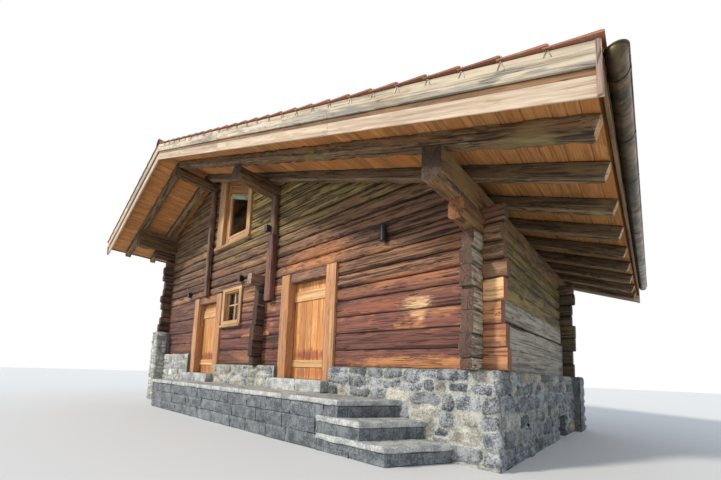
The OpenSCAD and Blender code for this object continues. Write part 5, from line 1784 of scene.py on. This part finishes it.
def skin_path(corners, step):
    """Points along the wall's foot with their outward directions and the length so far."""
    corners = np.array(corners, float)
    ways = np.diff(corners, axis=0)
    lengths = np.linalg.norm(ways, axis=1)
    ways = ways / lengths[:, None]
    outs = np.stack([ways[:, 1], -ways[:, 0]], 1)
    places, normals = [], []
    for i, (start, way, length, out) in enumerate(zip(corners, ways, lengths, outs)):
        turns = i < len(ways) - 1
        s0, s1 = ARC if i else 0.0, length - (ARC if turns else 0.0)
        for s in np.linspace(s0, s1, int((s1 - s0) / step) + 2):
            places.append(start + way * s)
            normals.append(out)
        if turns:
            middle = corners[i + 1] - ARC * (out + outs[i + 1])
            for f in (0.25, 0.5, 0.75):
                normal = out * math.cos(f * math.pi / 2) + outs[i + 1] * math.sin(f * math.pi / 2)
                places.append(middle + ARC * normal)
                normals.append(normal)
    places, normals = np.array(places), np.array(normals)
    run = np.concatenate([[0], np.cumsum(np.linalg.norm(np.diff(places, axis=0), axis=1))])
    return places, normals, run


# %% [markdown]
# At the top the skin bends inward over a small radius. Its border rows and columns repeat the
# outermost ones, but lie on the wall itself, which closes the skin. A hole leaves out the faces
# over the cellar opening. A damp wall, the one that faces right, also has deeper joints.

# %% Rubble skin
BEND, SUNK, PROUD, JOINT_BED, JOINT_BED_RIGHT = 0.03, -0.004, 0.034, 0.35, 0.05
BEND_TURNS = np.radians([30, 60, 85])


def skin_rows(z0, z1, step):
    """Heights of the rows, how far each lies back, and how much it faces up."""
    lift = np.linspace(z0, z1 - BEND, int((z1 - BEND - z0) / step) + 2)
    flat = np.zeros(len(lift))
    z = np.concatenate([lift, z1 - BEND + BEND * np.sin(BEND_TURNS)])
    back = np.concatenate([flat, BEND * (1 - np.cos(BEND_TURNS))])
    upward = np.concatenate([flat, np.sin(BEND_TURNS)])
    return [np.concatenate([[a[0]], a, [a[-1]]]) for a in (z, back, upward)]


def rubble(name, seed, corners, z0, z1, material, kinds, size=(0.42, 0.26), step=0.016, joint=0.014,
           hole=None, damp=False, slot="rubble_stone"):
    build = Build(seed)
    places, outs, run = (np.concatenate([a[:1], a, a[-1:]]) for a in skin_path(corners, step))
    z, back, upward = skin_rows(z0, z1, step)
    u, v = np.meshgrid(run, z - z0 + back, indexing="ij")
    facing_right, gap, border = np.zeros(u.shape), np.zeros(u.shape, bool), np.zeros(u.shape, bool)
    # How far the wall faces right: that part gets painted shade and deeper joints.
    if damp:
        facing_right = np.clip((outs[:, 0] - 0.3) / 0.6, 0, 1)[:, None] * np.ones(u.shape)
    bed = JOINT_BED + (JOINT_BED_RIGHT - JOINT_BED) * facing_right
    height, tone, kind, mortar = stone_field(build.rng, u, v, size, joint, bed)
    border[[0, -1], :] = border[:, [0, -1]] = True
    if hole:
        y = places[:, 1][:, None]
        gap = (y > hole[0]) & (y < hole[1]) & (z[None, :] < hole[2]) & (outs[:, 0][:, None] > 0.9)
    push = height * PROUD * (1 - 0.6 * upward[None, :])
    push[border | gap] = SUNK
    flat = places[:, None, :] + outs[:, None, :] * (push * np.sqrt(1 - upward ** 2) - back)[:, :, None]
    heights = z[None, :] + push * upward[None, :]
    verts = np.concatenate([flat, heights[:, :, None]], 2).reshape(-1, 3) + np.array(at(0, 0, 0))
    index = np.arange(u.size).reshape(u.shape)
    quads = np.stack([index[:-1, :-1], index[1:, :-1], index[1:, 1:], index[:-1, 1:]], 2).reshape(-1, 4)
    quads = quads[~gap.ravel()[quads].all(axis=1)]
    build.add(verts, [tuple(q) for q in quads.tolist()], tone=tone.ravel(), kind=kinds(kind).ravel(),
              mortar=mortar.ravel(), damp=facing_right.ravel(), end=0.0)
    build.make(name, material, slot, sharp=50)


# %% [markdown]
# Six stretches of rubble, each from its own corners, heights and sizes of stone. Most stones in
# front are blue-grey; left of the doors and on the pier nearly half are cream.

# %% Rubble walls
BASE_R, BASE_L, BASE_B, SIDE_B, REAR_R, REAR_L = 0.22, -9.9, 4.56, 4.11, 0.34, -9.45
PIER_X1, PIER_Y, PIER_H = -9.48, -0.33, 0.9275
CELLAR = (2.7, 3.3, -0.68)


def sorts(cream, ochre):
    """Shares of cream and ochre stones; the rest are blue-grey."""
    def choose(kind):
        rest = 0.05 + 0.25 * kind
        return np.where(kind > 1 - ochre, 0.95, np.where(kind > 1 - ochre - cream, 0.62, rest))
    return choose


mostly_blue, pale_left = sorts(0.2, 0.06), sorts(0.45, 0.05)
(door_1_left, door_1_right), (door_2_left, door_2_right) = DOOR_EDGES["door_1"], DOOR_EDGES["door_2"]
# The right stretch wraps round the corner; its side that faces right gets painted shade.
rubble("front_rubble_right", 131, [(door_2_right, FRONT), (BASE_R, FRONT), (BASE_R, SIDE_B)], BASE_FOOT, 0.0,
       FRONT_STONE, mostly_blue, (0.44, 0.23), step=0.0145, hole=CELLAR, damp=True)
rubble("front_rubble_middle", 133, [(door_1_right, FRONT), (door_2_left, FRONT)], -0.5, 0.0, FRONT_STONE,
       pale_left, (0.38, 0.24))
rubble("front_rubble_left", 134, [(PIER_X1, FRONT), (door_1_left, FRONT)], BASE_FOOT, BEAM_H, PALE_STONE,
       pale_left, (0.3, 0.19), joint=0.012)
pier = [(BASE_L, FRONT + 0.02), (BASE_L, PIER_Y), (PIER_X1, PIER_Y), (PIER_X1, FRONT + 0.02)]
rubble("pier_rubble", 135, pier, BASE_FOOT, PIER_H, PALE_STONE, pale_left, (0.27, 0.18), joint=0.012)
rubble("rear_rubble", 136, [(REAR_R, SIDE_B), (REAR_R, BASE_B), (REAR_L, BASE_B)], BASE_FOOT, 0.0, DARK_STONE,
       mostly_blue, step=0.024, slot="dark_stone")
rubble("left_rubble", 137, [(REAR_L, BASE_B), (BASE_L, BASE_B), (BASE_L, FRONT)], BASE_FOOT, BEAM_H,
       PALE_STONE, pale_left, (0.34, 0.22), step=0.024)

# %% [markdown]
# The studio: a pale floor, a soft warm sun from the front left and a pale sky all round. The sky
# is white to the camera and to reflections only, so it never adds light to the house.

# %% Floor
FLOOR_HALF = 60
floor_mesh = bpy.data.meshes.new("floor")
square = [(x * FLOOR_HALF, y * FLOOR_HALF, 0) for x, y in ((-1, -1), (1, -1), (1, 1), (-1, 1))]
floor_mesh.from_pydata(square, [], [(0, 1, 2, 3)])
floor = bpy.data.objects.new("floor", floor_mesh)
bpy.context.scene.collection.objects.link(floor)
floor_material, n, shader = new_material("pale floor")
shader.inputs["Base Color"].default_value = srgb(222, 222, 220)
shader.inputs["Roughness"].default_value = 0.9
floor_mesh.materials.append(floor_material)
print("floor", 2 * FLOOR_HALF, "m wide")

# %% [markdown]
# Light Path tells the sky which rays ask for it. Rays that light the house get a soft pale blue,
# while the camera, glass and metal see plain white.

# %% Sky and sun
SKY_LIGHT, SKY_MORE = 0.9, 0.1
SUN_ENERGY, SUN_ANGLE, SUN_COLOUR, SUN_FROM = 2.6, 7, (1.0, 0.95, 0.87), (-0.55, -1.0, 0.72)

world = bpy.data.worlds.new("studio")
bpy.context.scene.world = world
world.use_nodes = True
n = Nodes(world.node_tree)
background = world.node_tree.nodes["Background"]
rays = n.add("ShaderNodeLightPath").outputs
seen = n.math("MAXIMUM", rays["Is Glossy Ray"], rays["Is Transmission Ray"])
seen = n.math("MAXIMUM", rays["Is Camera Ray"], seen)
n.put(background.inputs["Color"], n.mix(seen, srgb(216, 226, 240), (1, 1, 1, 1)))
n.put(background.inputs["Strength"], n.plus(n.times(seen, SKY_MORE), SKY_LIGHT))

sun_data = bpy.data.lights.new("sun", "SUN")
sun_data.energy = SUN_ENERGY
sun_data.angle = math.radians(SUN_ANGLE)
sun_data.color = SUN_COLOUR
sun = bpy.data.objects.new("sun", sun_data)
bpy.context.scene.collection.objects.link(sun)
sun.rotation_euler = Vector(SUN_FROM).to_track_quat("Z", "Y").to_euler()
print("sun", SUN_ENERGY, "sky", SKY_LIGHT)

# %% [markdown]
# Last come the plain view transform, so that colours render about as they are written, and the
# note of the CAD box. The dressed house must stay inside the CAD's box.

# %% CAD box and end
bpy.context.scene.view_settings.view_transform = "Standard"
print("CAD box", CAD_BOX)
